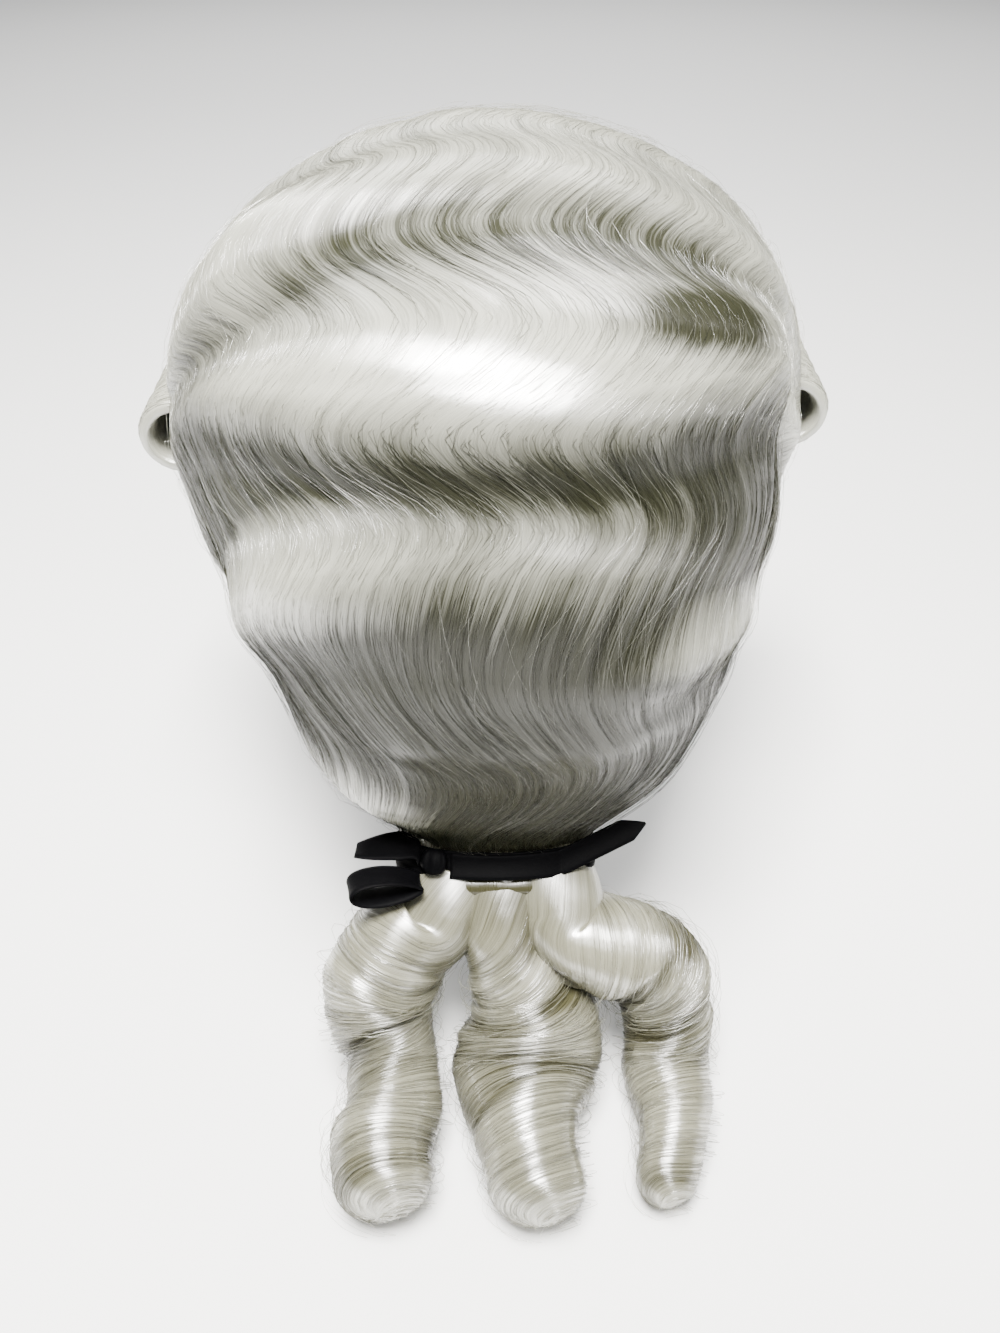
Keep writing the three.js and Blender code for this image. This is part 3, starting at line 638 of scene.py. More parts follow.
def shade_of_waves(along, across, height, place):
    """Painted shade and highlight: mild over the crown, deepest below the widest ridge."""
    slope = np.gradient(height, along[:, 0], axis=0)
    # Painted highlight on the ridges and their rising flanks, painted shade below them.
    shade = 0.88 - 0.03 * smooth_step(0.5, 0.58, along) - height_light * height - slope_light * slope
    # Painted shade is lighter over the crown and at the nape and darker over the low back.
    mild_until = 0.45 + 0.06 * smooth_step(0.2, 0.45, across)
    mild = 1 - smooth_step(mild_until, mild_until + 0.1, along)
    shade = shade * (1 - crown_light * mild) + low_back_shade * smooth_step(0.71, 0.83, along)
    shade = shade - nape_light * smooth_step(0.88, 0.95, along)
    # Each patch is painted shade with no relief; its depth is how much it darkens.
    for shade_patch in painted_shade_patches:
        off = across - shade_patch["across"]
        down = along - shade_patch["along"] - shade_patch["slant"] * off
        away = (down / shade_patch["reach"]) ** 2 + (off / shade_patch["spread"]) ** 2
        shade = shade + shade_patch["depth"] * np.exp(-away)
    strands = soft_noise(place, along, 110, 6, 15) + soft_noise(place, along, 50, 9, 16)
    return np.clip(shade + strand_shade * strands, 0, 1)


# %% The skin of the head
along_steps = 300
across_steps = 230
inner_along = 30
inner_across = 23
# Painted shade on the inside of the wig.
inside_shade = 0.8


def perimeter(k, i, rows, columns):
    """The places round a block of a grid, starting down its first side."""
    loop = [(k + j, i) for j in range(rows)] + [(k + rows, i + j) for j in range(columns)]
    loop += [(k + rows - j, i + columns) for j in range(rows)]
    return loop + [(k, i + columns - j) for j in range(columns)]


def inner_faces(outer_index, inner_index, kept):
    """The coarse faces of the inside and the narrow ones of the hem, as loops of index and place."""
    faces = []
    step_k, step_i = along_steps // inner_along, across_steps // inner_across
    for k in range(0, along_steps, step_k):
        for i in range(0, across_steps, step_i):
            loop = [place for place in perimeter(k, i, step_k, step_i) if kept[place]]
            faces.append([(inner_index[place], place) for place in loop])
    rim = perimeter(0, 0, along_steps, across_steps)
    for first, second in zip(rim, rim[1:] + rim[:1]):
        outside = [(outer_index[first], first), (outer_index[second], second)]
        faces.append(outside + [(inner_index[second], second), (inner_index[first], first)])
    return faces


def crown_skin():
    """The waved outside, a plainer inside, and the hem that joins them."""
    a, s = np.linspace(0, 1, along_steps + 1), np.linspace(-1, 1, across_steps + 1)
    along, across = np.meshgrid(a, s, indexing="ij")
    outer, inner = hair_point(along, across), cap_point(along, across)
    place = strand_place(along, across)
    ways = strand_ways(outer, place)
    painted_shade = shade_of_waves(along, across, wave_height(along, across), place)
    k, i = np.indices(along.shape)
    rim = (k % along_steps == 0) | (i % across_steps == 0)
    kept = rim | ((k % (along_steps // inner_along) == 0) & (i % (across_steps // inner_across) == 0))
    outer_index = np.arange(along.size).reshape(along.shape)
    inner_index = along.size - 1 + np.cumsum(kept).reshape(along.shape)
    faces, uvs = quads(outer_index, place, along)
    for loop in inner_faces(outer_index, inner_index, kept):
        faces.append([int(index) for index, where in loop])
        uvs.append([(place[where] + 2, along[where]) for index, where in loop])
    points = np.concatenate([outer.reshape(-1, 3), inner[kept]])
    skin = make_piece("waved_crown", points, faces, "strands", uvs, waved_finish)
    shade = np.concatenate([painted_shade.ravel(), np.full(kept.sum(), inside_shade)])
    know_strands(skin, np.concatenate([ways.reshape(-1, 3), ways[kept]]), shade)
    return skin


crown = crown_skin()
print("head of hair:", len(crown.data.polygons), "faces")

# %% [markdown]
# ## Strands by Geometry Nodes
#
# A skin alone has a clean edge, and hair has none. Thousands of fine strands lie on each skin and
# leave it a little. Drawing them by hand or as particles would not follow the waves, so one node
# tree lays them by the strand map: it makes straight lines, gives each a random strand number and a
# random start, and moves every point to where the map has that place. On a wound ringlet the map
# comes round again after each turn, so a strand that passes one edge goes on at the other.
#
# %% The strand tree
strand_counts = {"Strands": 1000, "Points": 12, "Seed": 1}
strand_sizes = {
    "Across From": 0.0, "Across To": 1.0, "Along From": 0.0, "Along To": 1.0, "Shortest": 0.1,
    "Longest": 0.2, "Turns": 0.0, "Drift": 0.0, "Thickness": 0.0002, "Lift": 0.0005, "Keep Skin": 0.0,
    "Shade": 1.0, "Lowest": cad_box[0].z + 0.0002,
}


def strand_inputs(tree):
    """The named inputs of a strand tree: the skin, the counts, the sizes and the finish."""
    tree.interface.new_socket("Geometry", in_out="INPUT", socket_type="NodeSocketGeometry")
    for kind, values in (("Int", strand_counts), ("Float", strand_sizes)):
        for label, value in values.items():
            made = tree.interface.new_socket(label, in_out="INPUT", socket_type=f"NodeSocket{kind}")
            made.default_value = value
    tree.interface.new_socket("Material", in_out="INPUT", socket_type="NodeSocketMaterial")
    tree.interface.new_socket("Geometry", in_out="OUTPUT", socket_type="NodeSocketGeometry")
    return tree.nodes.new("NodeGroupInput").outputs


def strand_tree(name, wound):
    """A node tree that lays strands on a skin by its strand map."""
    tree = bpy.data.node_groups.new(name, "GeometryNodeTree")
    given = strand_inputs(tree)

    def node(kind, feeds=None, **choices):
        return add_node(tree, kind, feeds, **choices).outputs[0]

    def sums(operation, *values):
        return node("ShaderNodeMath", dict(enumerate(values)), operation=operation)

    def minus(first, second):
        return sums("SUBTRACT", first, second)

    def times(first, second):
        return sums("MULTIPLY", first, second)

    def named(label, kind):
        return node("GeometryNodeInputNamedAttribute", {"Name": label}, data_type=kind)

    line = node("GeometryNodeCurvePrimitiveLine", {"End": (1, 0, 0)})
    points = node("GeometryNodeResampleCurve", {"Curve": line, "Count": given["Points"]})
    feeds = {"Geometry": points, "Amount": given["Strands"]}
    copies = add_node(tree, "GeometryNodeDuplicateElements", feeds, domain="SPLINE").outputs

    def chance(low, high, number):
        seed = sums("ADD", given["Seed"], float(number))
        feeds = {2: low, 3: high, "ID": copies["Duplicate Index"], "Seed": seed}
        return add_node(tree, "FunctionNodeRandomValue", feeds).outputs[1]

    share = tree.nodes.new("GeometryNodeSplineParameter").outputs["Factor"]
    across = chance(given["Across From"], given["Across To"], 0)
    start = chance(given["Along From"], given["Along To"], 1)
    way = times(share, chance(given["Shortest"], given["Longest"], 2))
    drift = times(minus(share, 0.5), chance(times(given["Drift"], -1.0), given["Drift"], 3))
    if wound:
        along = sums("ADD", across, way)
        turn = sums("FLOOR", along)
        number = minus(minus(across, times(start, given["Turns"])), turn)
        along = minus(along, turn)
    else:
        number, along = across, sums("MINIMUM", sums("ADD", start, way), 0.998)
    place = node("ShaderNodeCombineXYZ", {"X": sums("ADD", number, drift), "Y": along})
    uv = named("strands", "FLOAT_VECTOR")

    def sample(kind, value):
        feeds = {"Mesh": given["Geometry"], "Value": value, "UV Map": uv, "Sample UV": place}
        return add_node(tree, "GeometryNodeSampleUVSurface", feeds, data_type=kind).outputs

    position = sample("FLOAT_VECTOR", node("GeometryNodeInputPosition"))
    normal = sample("FLOAT_VECTOR", node("GeometryNodeInputNormal"))[0]
    painted_shade = sample("FLOAT", named("painted_shade", "FLOAT"))[0]
    arch = minus(1.0, sums("POWER", sums("ABSOLUTE", minus(times(share, 2.0), 1.0)), 4.0))
    rise = times(arch, chance(times(given["Lift"], 0.3), given["Lift"], 4))
    height = minus(rise, times(given["Thickness"], 0.8))
    lift = node("ShaderNodeVectorMath", {0: normal, "Scale": height}, operation="SCALE")
    risen = node("ShaderNodeVectorMath", {0: position[0], 1: lift}, operation="ADD")
    apart = add_node(tree, "ShaderNodeSeparateXYZ", {0: risen}).outputs
    resting = {"X": apart[0], "Y": apart[1], "Z": sums("MAXIMUM", apart[2], given["Lowest"])}
    feeds = {"Geometry": copies[0], "Position": node("ShaderNodeCombineXYZ", resting)}
    laid = node("GeometryNodeSetPosition", feeds)

    def keep(geometry, label, kind, domain, value):
        feeds = {"Geometry": geometry, "Name": label, "Value": value}
        return node("GeometryNodeStoreNamedAttribute", feeds, data_type=kind, domain=domain)

    laid = keep(laid, "strand_way", "FLOAT_VECTOR", "POINT", node("GeometryNodeInputTangent"))
    # The strands carry the skin's painted shade, scaled by Shade: above 1 they are darker, below 1 lighter.
    laid = keep(laid, "painted_shade", "FLOAT", "POINT", times(painted_shade, given["Shade"]))
    laid = keep(laid, "strand_place", "FLOAT_VECTOR", "POINT", place)
    laid = keep(laid, "taper", "FLOAT", "POINT", sums("MAXIMUM", arch, 0.2))
    lost = {"Geometry": laid, "Selection": minus(1.0, position["Is Valid"])}
    laid = node("GeometryNodeDeleteGeometry", lost, domain="POINT")
    ring = node("GeometryNodeCurvePrimitiveCircle", {"Resolution": 3, "Radius": given["Thickness"]})
    feeds = {"Curve": laid, "Profile Curve": ring, "Scale": named("taper", "FLOAT"), "Fill Caps": True}
    tubes = node("GeometryNodeCurveToMesh", feeds)
    tubes = keep(tubes, "strands", "FLOAT2", "CORNER", named("strand_place", "FLOAT_VECTOR"))
    tubes = node("GeometryNodeSetShadeSmooth", {"Geometry": tubes})
    no_skin = {"Geometry": given["Geometry"], "Selection": minus(1.0, given["Keep Skin"])}
    both = tree.nodes.new("GeometryNodeJoinGeometry")
    tree.links.new(node("GeometryNodeDeleteGeometry", no_skin), both.inputs[0])
    tree.links.new(tubes, both.inputs[0])
    real = node("GeometryNodeRealizeInstances", {"Geometry": both.outputs[0]})
    painted = node("GeometryNodeSetMaterial", {"Geometry": real, "Material": given["Material"]})
    tree.links.new(painted, tree.nodes.new("NodeGroupOutput").inputs[0])
    return tree


swept_tree = strand_tree("strands that lie along a skin", wound=False)
wound_tree = strand_tree("strands that wind round a ringlet", wound=True)
print("strand trees:", len(swept_tree.nodes), "and", len(wound_tree.nodes), "nodes")


# %% Growing strands on a skin
def grow_strands(skin, tree, name, material, **sizes):
    """Lay strands on a skin. The skin goes into the same piece if Keep Skin is 1."""
    grower = bpy.data.objects.new(name, skin.data.copy())
    bpy.context.scene.collection.objects.link(grower)
    modifier = grower.modifiers.new("strands", "NODES")
    modifier.node_group = tree
    wanted = {label.replace("_", " ").title(): value for label, value in sizes.items()}
    wanted["Material"] = material
    for item in tree.interface.items_tree:
        if item.in_out == "INPUT" and item.name in wanted:
            modifier[item.identifier] = wanted[item.name]
    evaluated = grower.evaluated_get(bpy.context.evaluated_depsgraph_get())
    mesh = bpy.data.meshes.new_from_object(evaluated)
    grower.modifiers.remove(modifier)
    grower.data = mesh
    if wanted.get("Keep Skin"):
        bpy.data.objects.remove(skin)
        grower.name = name
    print(name, "has", sum(len(p.vertices) - 2 for p in mesh.polygons), "triangles")
    return grower


crown_strands = grow_strands(
    crown, swept_tree, "waved_crown_strands", waved_finish, strands=2600, points=13, seed=21,
    across_from=0.01, across_to=0.99, along_from=0.01, along_to=0.96, shortest=0.12, longest=0.26,
    drift=0.012, thickness=0.00006, lift=0.0004, shade=1.12,
)

stray_strands = grow_strands(
    crown, swept_tree, "waved_crown_strays", waved_finish, strands=700, points=14, seed=22,
    across_from=0.03, across_to=0.97, along_from=0.05, along_to=0.9, shortest=0.1, longest=0.22,
    drift=0.09, thickness=0.00005, lift=0.0024, shade=0.75,
)

for piece in (crown, crown_strands, stray_strands):
    stand_for(piece, "crown_hair")

# %% [markdown]
# ## Tubes of hair
#
# The rolled curls, the gathered queue and the ringlets are tubes: rings of points, one after
# another, closed by a face at each end. The last column of a grid is the first one again, so that
# the strand map can be cut there without a gap in the skin.
#
# %% A tube from its rings
def tube_skin(name, rings, place, along, painted_shade, material):
    """A closed tube. rings, place, along and trough have one column more than the tube has sides."""
    count, columns = place.shape
    sides = columns - 1
    index = np.arange(count * sides).reshape(count, sides)
    faces, uvs = quads(np.concatenate([index, index[:, :1]], 1), place, along)
    faces += [index[0, ::-1].tolist(), index[-1].tolist()]
    uvs += [[(9.0, 9.0)] * sides] * 2
    skin = make_piece(name, rings[:, :-1], faces, "strands", uvs, material)
    know_strands(skin, strand_ways(rings, place)[:, :-1], painted_shade[:, :-1])
    face_outwards(skin)
    return skin


def face_outwards(piece, merge=0):
    """Turn every face of a closed piece to the outside, once points that coincide are merged."""
    work = bmesh.new()
    work.from_mesh(piece.data)
    if merge:
        bmesh.ops.remove_doubles(work, verts=work.verts, dist=merge)
    bmesh.ops.recalc_face_normals(work, faces=work.faces)
    work.to_mesh(piece.data)
    work.free()


def frames_along(line):
    """Two directions across a line at each of its points, carried along without twisting."""
    ways = unit(np.gradient(line, axis=0))
    first = unit(np.cross(ways[0], (0.0, 0.0, 1.0)))
    sides = [first]
    for way in ways[1:]:
        sides.append(unit(sides[-1] - way * np.dot(sides[-1], way)))
    sides = np.array(sides)
    return sides, np.cross(ways, sides)


def smooth_path(knots, count):
    """A centripetal curve through the knots: evenly spaced points and each one's share of the knots."""
    knots = np.vstack([2 * knots[0] - knots[1], knots, 2 * knots[-1] - knots[-2]])
    steps = np.maximum(np.linalg.norm(np.diff(knots, axis=0), axis=1) ** 0.5, 1e-4)
    points, shares = [], []
    segments = len(knots) - 3
    for i in range(segments):
        a, b, c, d = knots[i:i + 4]
        t0, t1, t2 = steps[i:i + 3]
        leave = ((b - a) / t0 - (c - a) / (t0 + t1) + (c - b) / t1) * t1
        arrive = ((c - b) / t1 - (d - b) / (t1 + t2) + (d - c) / t2) * t1
        u = np.linspace(0, 1, 25)[:, None]
        curve = (2 * u**3 - 3 * u**2 + 1) * b + (u**3 - 2 * u**2 + u) * leave
        curve = curve + (3 * u**2 - 2 * u**3) * c + (u**3 - u**2) * arrive
        points.append(curve if i == 0 else curve[1:])
        shares.append((i + (u if i == 0 else u[1:])[:, 0]) / segments)
    points, shares = np.vstack(points), np.concatenate(shares)
    lengths = np.concatenate([[0], np.cumsum(np.linalg.norm(np.diff(points, axis=0), axis=1))])
    even = np.linspace(0, lengths[-1], count)
    line = np.stack([np.interp(even, lengths, points[:, i]) for i in range(3)], -1)
    return line, np.interp(even, lengths, shares), lengths[-1]


# %% [markdown]
# ## The rolled curls
#
# Over each ear the hair is rolled inwards round a finger. Seen from its end such a curl is a
# spiral, so its section is one: a wall of hair that winds from outside to inside. The strands run
# round it, and both ends stay open.
#
# %% The curls over the ears
roll_wall = 0.0046
roll_turn_gap = 0.0013
roll_start = math.radians(205)
roll_turns = 1.3
roll_swell = table("along size", [0, 0.94], [0.45, 1.06], [1, 0.95])
lip_reach = 0.05
lip_thin = 0.35
wall_thin = 0.25
wall_growth = 9
spiral_steps = 90
roll_steps = 44


def rolled_curl(side, seat):
    """A spiral of hair, open at both ends."""
    x, front, rear, z = roll_middle(seat)
    spiral = np.linspace(0, 1, spiral_steps + 1)
    y_share = (1 - np.cos(np.linspace(0, np.pi, roll_steps + 1))) / 2
    edge = np.clip(np.minimum(y_share, 1 - y_share) / lip_reach, 0, 1)
    lip = lip_thin + (1 - lip_thin) * np.sqrt(1 - (1 - edge) ** 2)
    turn = spiral * roll_turns
    angle = roll_start - 2 * np.pi * turn
    wall = roll_wall * np.minimum(wall_thin + np.minimum(spiral, 1 - spiral) * wall_growth, 1)
    share, place = np.meshgrid(spiral, y_share)
    size = read(roll_swell, "size", place)
    locks = soft_noise(place, share, 16, 5, 31) * 0.0006 + soft_noise(place, share, 50, 9, 32) * 0.00025
    outer = (roll_radius - turn * (roll_wall + roll_turn_gap))[None, :] * size + locks
    outer = outer - (1 - lip[:, None]) * wall * 0.5
    inner = outer - wall[None, :] * lip[:, None]

    def at(radius):
        out, up = seat["side"] * radius * np.cos(angle), radius * np.sin(angle)
        return np.stack([out, (rear - front) * place, up], -1) + np.array([x, front, z])

    rings = np.concatenate([at(outer), at(inner)[:, ::-1], at(outer)[:, :1]], 1)
    places = np.concatenate([place, place + 2, place[:, :1]], 1)
    shares = np.concatenate([share, share[:, ::-1], share[:, :1]], 1)
    # Painted shade, darker towards the inner turns of the spiral and on its inner wall.
    painted_shade = np.concatenate([share * 0.5, 0.35 + 0 * share, share[:, :1] * 0], 1)
    skin = tube_skin(f"rolled_curl_{side}", rings, places, shares, painted_shade, waved_finish)
    curl = grow_strands(
        skin, swept_tree, skin.name, waved_finish, strands=420, points=12, seed=41, across_from=0.01,
        across_to=0.99, along_from=0.0, along_to=0.6, shortest=0.25, longest=0.5, drift=0.03,
        thickness=0.0002, lift=0.0006, keep_skin=1.0,
    )
    stand_for(curl, f"side_roll_{side}")


for side, seat in roll_seats.items():
    rolled_curl(side, seat)

# %% [markdown]
# ## The gathered queue
#
# Below the nape all the hair is drawn together, flat and wide, and leans back as it comes out of
# the ribbon. Its sections are ellipses that turn their face upwards by degrees.
#
# %% The queue under the ribbon
queue_end_in = 0.0125


def gathered_queue():
    """The bundle of hair that the ribbon ties."""
    along, turn = np.meshgrid(np.linspace(0, 1, 25), np.linspace(0, 1, 129), indexing="ij")
    folds = soft_noise(turn, along, 40, 3, 51) * 0.0007 * (1 - smooth_step(0.9, 1, np.abs(2 * turn - 1)))
    rounding = np.clip((1 - along) / 0.3, 0, 1)
    drawn_in = queue_end_in * (1 - np.sqrt(1 - (1 - rounding) ** 2))
    rings = queue_point(along, turn - 0.25, folds * rounding - drawn_in)
    # Painted shade, darker down the queue below the ribbon where the ringlets part.
    painted_shade = 0.3 + 0.6 * smooth_step(0.5, 0.75, along)
    skin = tube_skin("gathered_queue", rings, turn, along, painted_shade, curled_finish)
    queue = grow_strands(
        skin, swept_tree, skin.name, curled_finish, strands=300, points=6, seed=52, across_from=0.02,
        across_to=0.98, along_from=0.0, along_to=0.2, shortest=0.5, longest=0.8, thickness=0.0002,
        lift=0.0006, keep_skin=1.0,
    )
    stand_for(queue, "queue_root")


gathered_queue()

# %% [markdown]
# ## The ringlets
#
# A ringlet is a lock that was wound round a stick and slipped off it: the strands run round it
# rather than along it, and each turn stands a little over the next. So the strand map of a
# ringlet is wound too, and the skin is grooved between its turns.
#
# %% The three ringlets
ringlet_radius = 0.0195
ringlet_reach = 0.080
ringlet_drop = 0.055
ringlet_spread = 0.060
ringlet_pitch = 0.034
ringlet_groove = 0.0022
ringlet_bulge = 0.0011
root_spread = 0.45
patch_height = 0.0011
tip_length = 0.010
groove_sway = table("height around along start", [0.09, 1, 0.3, 0], [0.05, 2, -1.3, 0])
bulges = table("height around along start", [1, 1, 1.7, 0], [0.6, 2, -3.1, 1])
ringlet_paths = {
    "left": table(
        "side back down size",
        [0.27, -0.09, -0.1, 0.52], [0.32, 0.022, 0.036, 0.62], [0.345, 0.07, 0.13, 0.72],
        [0.52, 0.115, 0.25, 0.92], [0.68, 0.16, 0.46, 1.06], [0.7, 0.25, 0.68, 1.06], [0.64, 0.4, 0.89, 0.93],
        [0.6, 0.63, 0.97, 0.95], [0.63, 0.86, 0.98, 0.89], [0.64, 0.98, 0.98, 0.8], [0.64, 1.07, 0.98, 0.7],
    ),
    "centre": table(
        "side back down size",
        [-0.03, -0.09, -0.1, 0.52], [-0.03, 0.018, 0.03, 0.62], [-0.05, 0.075, 0.13, 0.68],
        [-0.09, 0.14, 0.32, 0.76], [-0.14, 0.19, 0.54, 0.9], [-0.18, 0.29, 0.76, 1.14],
        [-0.19, 0.44, 0.9, 1.22], [-0.18, 0.64, 0.95, 1.04], [-0.21, 0.84, 0.99, 0.87],
        [-0.225, 0.99, 1.02, 0.78], [-0.23, 1.09, 1.04, 0.66],
    ),
    "right": table(
        "side back down size",
        [-0.33, -0.09, -0.1, 0.52], [-0.4, 0.024, 0.04, 0.62], [-0.43, 0.075, 0.14, 0.7],
        [-0.7, 0.125, 0.29, 0.86], [-0.94, 0.15, 0.49, 0.98], [-1.03, 0.23, 0.75, 0.92],
        [-1.05, 0.39, 0.99, 0.8], [-1.04, 0.6, 1.06, 0.7], [-0.99, 0.8, 1.09, 0.56],
        [-0.93, 0.93, 1.11, 0.5], [-0.91, 1.0, 1.12, 0.42],
    ),
}
groove_turns = {"left": 0.0, "centre": 1 / 3, "right": 2 / 3}
collars = {
    "left": dict(along=0.5, tilt=0.07, height=-0.0032),
    "centre": dict(along=0.41, tilt=0.05, height=0.0036),
    "right": dict(along=0.34, tilt=-0.04, height=-0.0015),
}
ringlet_sides = 64
ringlet_steps = 170


def winding(along, turns):
    """How far the strands have wound at a place: hardly at the root, then steadily."""
    steps = np.linspace(0, 1, 201)
    wound = np.cumsum(0.15 + 0.85 * smooth_step(0.06, 0.36, steps))
    return np.interp(along, steps, (wound - wound[0]) / (wound[-1] - wound[0])) * turns


def ripples(rows, angle, run):
    """A sum of waves round a ringlet and along it."""
    return sum(
        height * np.sin(2 * np.pi * (around * angle + along * run) + start)
        for height, around, along, start in zip(*rows.values())
    )


def ringlet_radii(name, along, angle, wound):
    """How far the grooves, the collar and the tip change a ringlet's radius, and the shade painted on it."""
    fade = np.clip(np.minimum(along, 1 - along) * 6, 0, 1)
    edge = (wound + ripples(groove_sway, angle, wound) + groove_turns[name] - angle) % 1
    depth = 0.6 + 0.5 * np.sin(2 * np.pi * (0.37 * wound + groove_turns[name]))
    groove = edge**1.6 * (1 - smooth_step(0.8, 1, edge)) * depth
    locks = soft_noise(((wound - angle) * 0.11) % 1, along, 90, 4, 61) * 0.0004
    locks = locks + ripples(bulges, angle, along) * ringlet_bulge
    collar = collars[name]
    past = along - collar["along"] - collar["tilt"] * np.cos(2 * np.pi * angle)
    step_in = smooth_step(-0.012, 0.012, past) * (1 - smooth_step(0.02, 0.4, past))
    shade_patch = np.exp(-((past - np.sign(-collar["height"]) * 0.02) / 0.03) ** 2)
    patches = soft_noise(angle * 0.999, along, 5, 11, 62) * patch_height * fade
    change = -(groove * ringlet_groove - locks) * fade + collar["height"] * step_in + patches
    # Painted shade in the grooves and beside the collar, and painted light on the raised patches.
    shade = groove * 0.55 + shade_patch * 0.55 - patches / patch_height * 0.5 + 0.16
    return change, np.clip(shade, 0, 1)


def wound_ringlet(name):
    """A ringlet whose strands run down from its root and then wind round it."""
    rows = ringlet_paths[name]
    sizes = np.array([ringlet_spread, ringlet_reach, -ringlet_drop])
    knots = np.stack([rows["side"], rows["back"], rows["down"]], -1) * sizes + queue_end
    line, share, length = smooth_path(knots, ringlet_steps + 1)
    first, second = frames_along(line)
    sized = {"along": np.linspace(0, 1, len(rows["size"])), "size": rows["size"]}
    turns = length / ringlet_pitch
    steps, sides = np.linspace(0, 1, ringlet_steps + 1), np.linspace(0, 1, ringlet_sides + 1)
    along, angle = np.meshgrid(steps, sides, indexing="ij")
    wound = winding(along, turns)
    change, shade = ringlet_radii(name, along, angle, wound)
    radius = (read(sized, "size", share) * ringlet_radius)[:, None] + change
    tip = np.clip((1 - along) * length / tip_length, 0, 1)
    radius = radius * (0.03 + 0.97 * np.sqrt(1 - (1 - tip) ** 2))
    wide = 1 + root_spread * (1 - smooth_step(0.0, 0.3, along))
    around = (wide * np.cos(2 * np.pi * angle))[..., None] * first[:, None]
    around = around + np.sin(2 * np.pi * angle)[..., None] * second[:, None]
    rings = line[:, None] + radius[..., None] * around
    rings[..., 2] = np.maximum(rings[..., 2], strand_sizes["Lowest"])
    skin = tube_skin(f"wound_ringlet_{name}", rings, angle - wound, angle, shade, curled_finish)
    strays = grow_strands(
        skin, wound_tree, f"stray_curl_{name}", curled_finish, strands=110, points=18, seed=72,
        along_from=0.02, along_to=0.9, shortest=0.4, longest=1.0, turns=turns, drift=0.1,
        thickness=0.00008, lift=0.005, shade=0.3,
    )
    ringlet = grow_strands(
        skin, wound_tree, skin.name, curled_finish, strands=640, points=16, seed=71,
        along_from=0.02, along_to=0.92, shortest=0.3, longest=0.9, turns=turns,
        thickness=0.00013, lift=0.0008, keep_skin=1.0,
    )
    for piece in (ringlet, strays):
        stand_for(piece, f"ringlet_{name}")


for name in ringlet_paths:
    wound_ringlet(name)

# %% [markdown]
# ## The satin ribbon
#
# A narrow black ribbon goes once round the queue, with one loop and two cut ends. Satin is woven so
# that long threads float on its face: it is nearly black where it mirrors nothing and has a soft
# streak of gloss along it. Each stretch is a thin sheet, made from the middle of the cloth and
# given its thickness afterwards, with the creases that tying leaves in it.
#
# %% The satin
ribbon_width = 0.011
ribbon_thickness = 0.0012
ribbon_edge = 0.35


def satin_material():
    """Black cloth with a fine warp along it and finer weft across."""
    material, tree, shader = new_material("black satin")
    uv = add_node(tree, "ShaderNodeUVMap", uv_map="cloth").outputs[0]
    warp = streaks(tree, uv, 9000, 400, 1.0)
    weft = streaks(tree, uv, 900, 7000, 1.0)
    weave = add_node(tree, "ShaderNodeMath", {0: warp, 1: weft}, operation="ADD").outputs[0]
    relief = {"Height": weave, "Strength": 0.4, "Distance": 0.0001}
    feed(tree, shader, {
        "Base Color": between(tree, warp, (0.0004, 0.0004, 0.0005), (0.003, 0.003, 0.0035)),
        "Roughness": ranged(tree, weave, 0.6, 1.4, 0.42, 0.6),
        "Normal": add_node(tree, "ShaderNodeBump", relief).outputs[0],
        "Specular IOR Level": 0.02,
    })
    return material


satin = satin_material()


# %% A sheet of cloth from its middle
def cloth_skin(name, middle, closed=False):
    """A thin sheet from a grid of points: along the ribbon, then across it."""
    rows, columns = middle.shape[:2]
    along_way = np.gradient(middle, axis=0)
    if closed:
        ring = np.concatenate([middle[-1:], middle, middle[:1]])
        along_way = (ring[2:] - ring[:-2]) / 2
    half = unit(np.cross(along_way, np.gradient(middle, axis=1))) * ribbon_thickness / 2
    edge = np.ones(columns)
    edge[[0, -1]] = ribbon_edge
    points = np.stack([middle + half * edge[:, None], middle - half * edge[:, None]])
    steps = np.linalg.norm(np.diff(middle[:, columns // 2], axis=0), axis=1)
    lengths = np.concatenate([[0], np.cumsum(steps)])
    front = np.arange(rows * columns).reshape(rows, columns)
    rims = [np.s_[:, 0], np.s_[:, -1], np.s_[0], np.s_[-1]]
    if closed:
        front, rims = np.concatenate([front, front[:1]]), rims[:2]
        lengths = np.append(lengths, lengths[-1] + lengths[1])
    back = front + rows * columns
    across, along = np.meshgrid(np.linspace(0, ribbon_width, columns), lengths)
    faces, uvs = quads(front, across, along)
    back_faces, back_uvs = quads(back, across, along)
    faces += [face[::-1] for face in back_faces]
    uvs += [uv[::-1] for uv in back_uvs]
    for rim in rims:
        both_sides = ((front, back), (across, across), (along, along))
        rim_faces, rim_uvs = quads(*(np.stack([near[rim], far[rim]], 1) for near, far in both_sides))
        faces += rim_faces
        uvs += rim_uvs
    piece = make_piece(name, points, faces, "cloth", uvs, satin)
    face_outwards(piece)
    return piece


def middle_length(middle):
    """The length of a strip, measured down its middle."""
    return float(np.linalg.norm(np.diff(middle[:, middle.shape[1] // 2], axis=0), axis=1).sum())


def wear_ribbon(piece, node, length):
    """Put a strip of ribbon in the place of the solid it stands for, and print the length it was cut to."""
    stand_for(piece, node)
    print(f"{piece.name}: {length * 1000:.0f} mm of ribbon")


# %% The band round the queue
tie_top = 2 / 9
tie_bottom = 6 / 9
tie_middle = (tie_top + tie_bottom) / 2
band_outside = piece_gap + ribbon_thickness


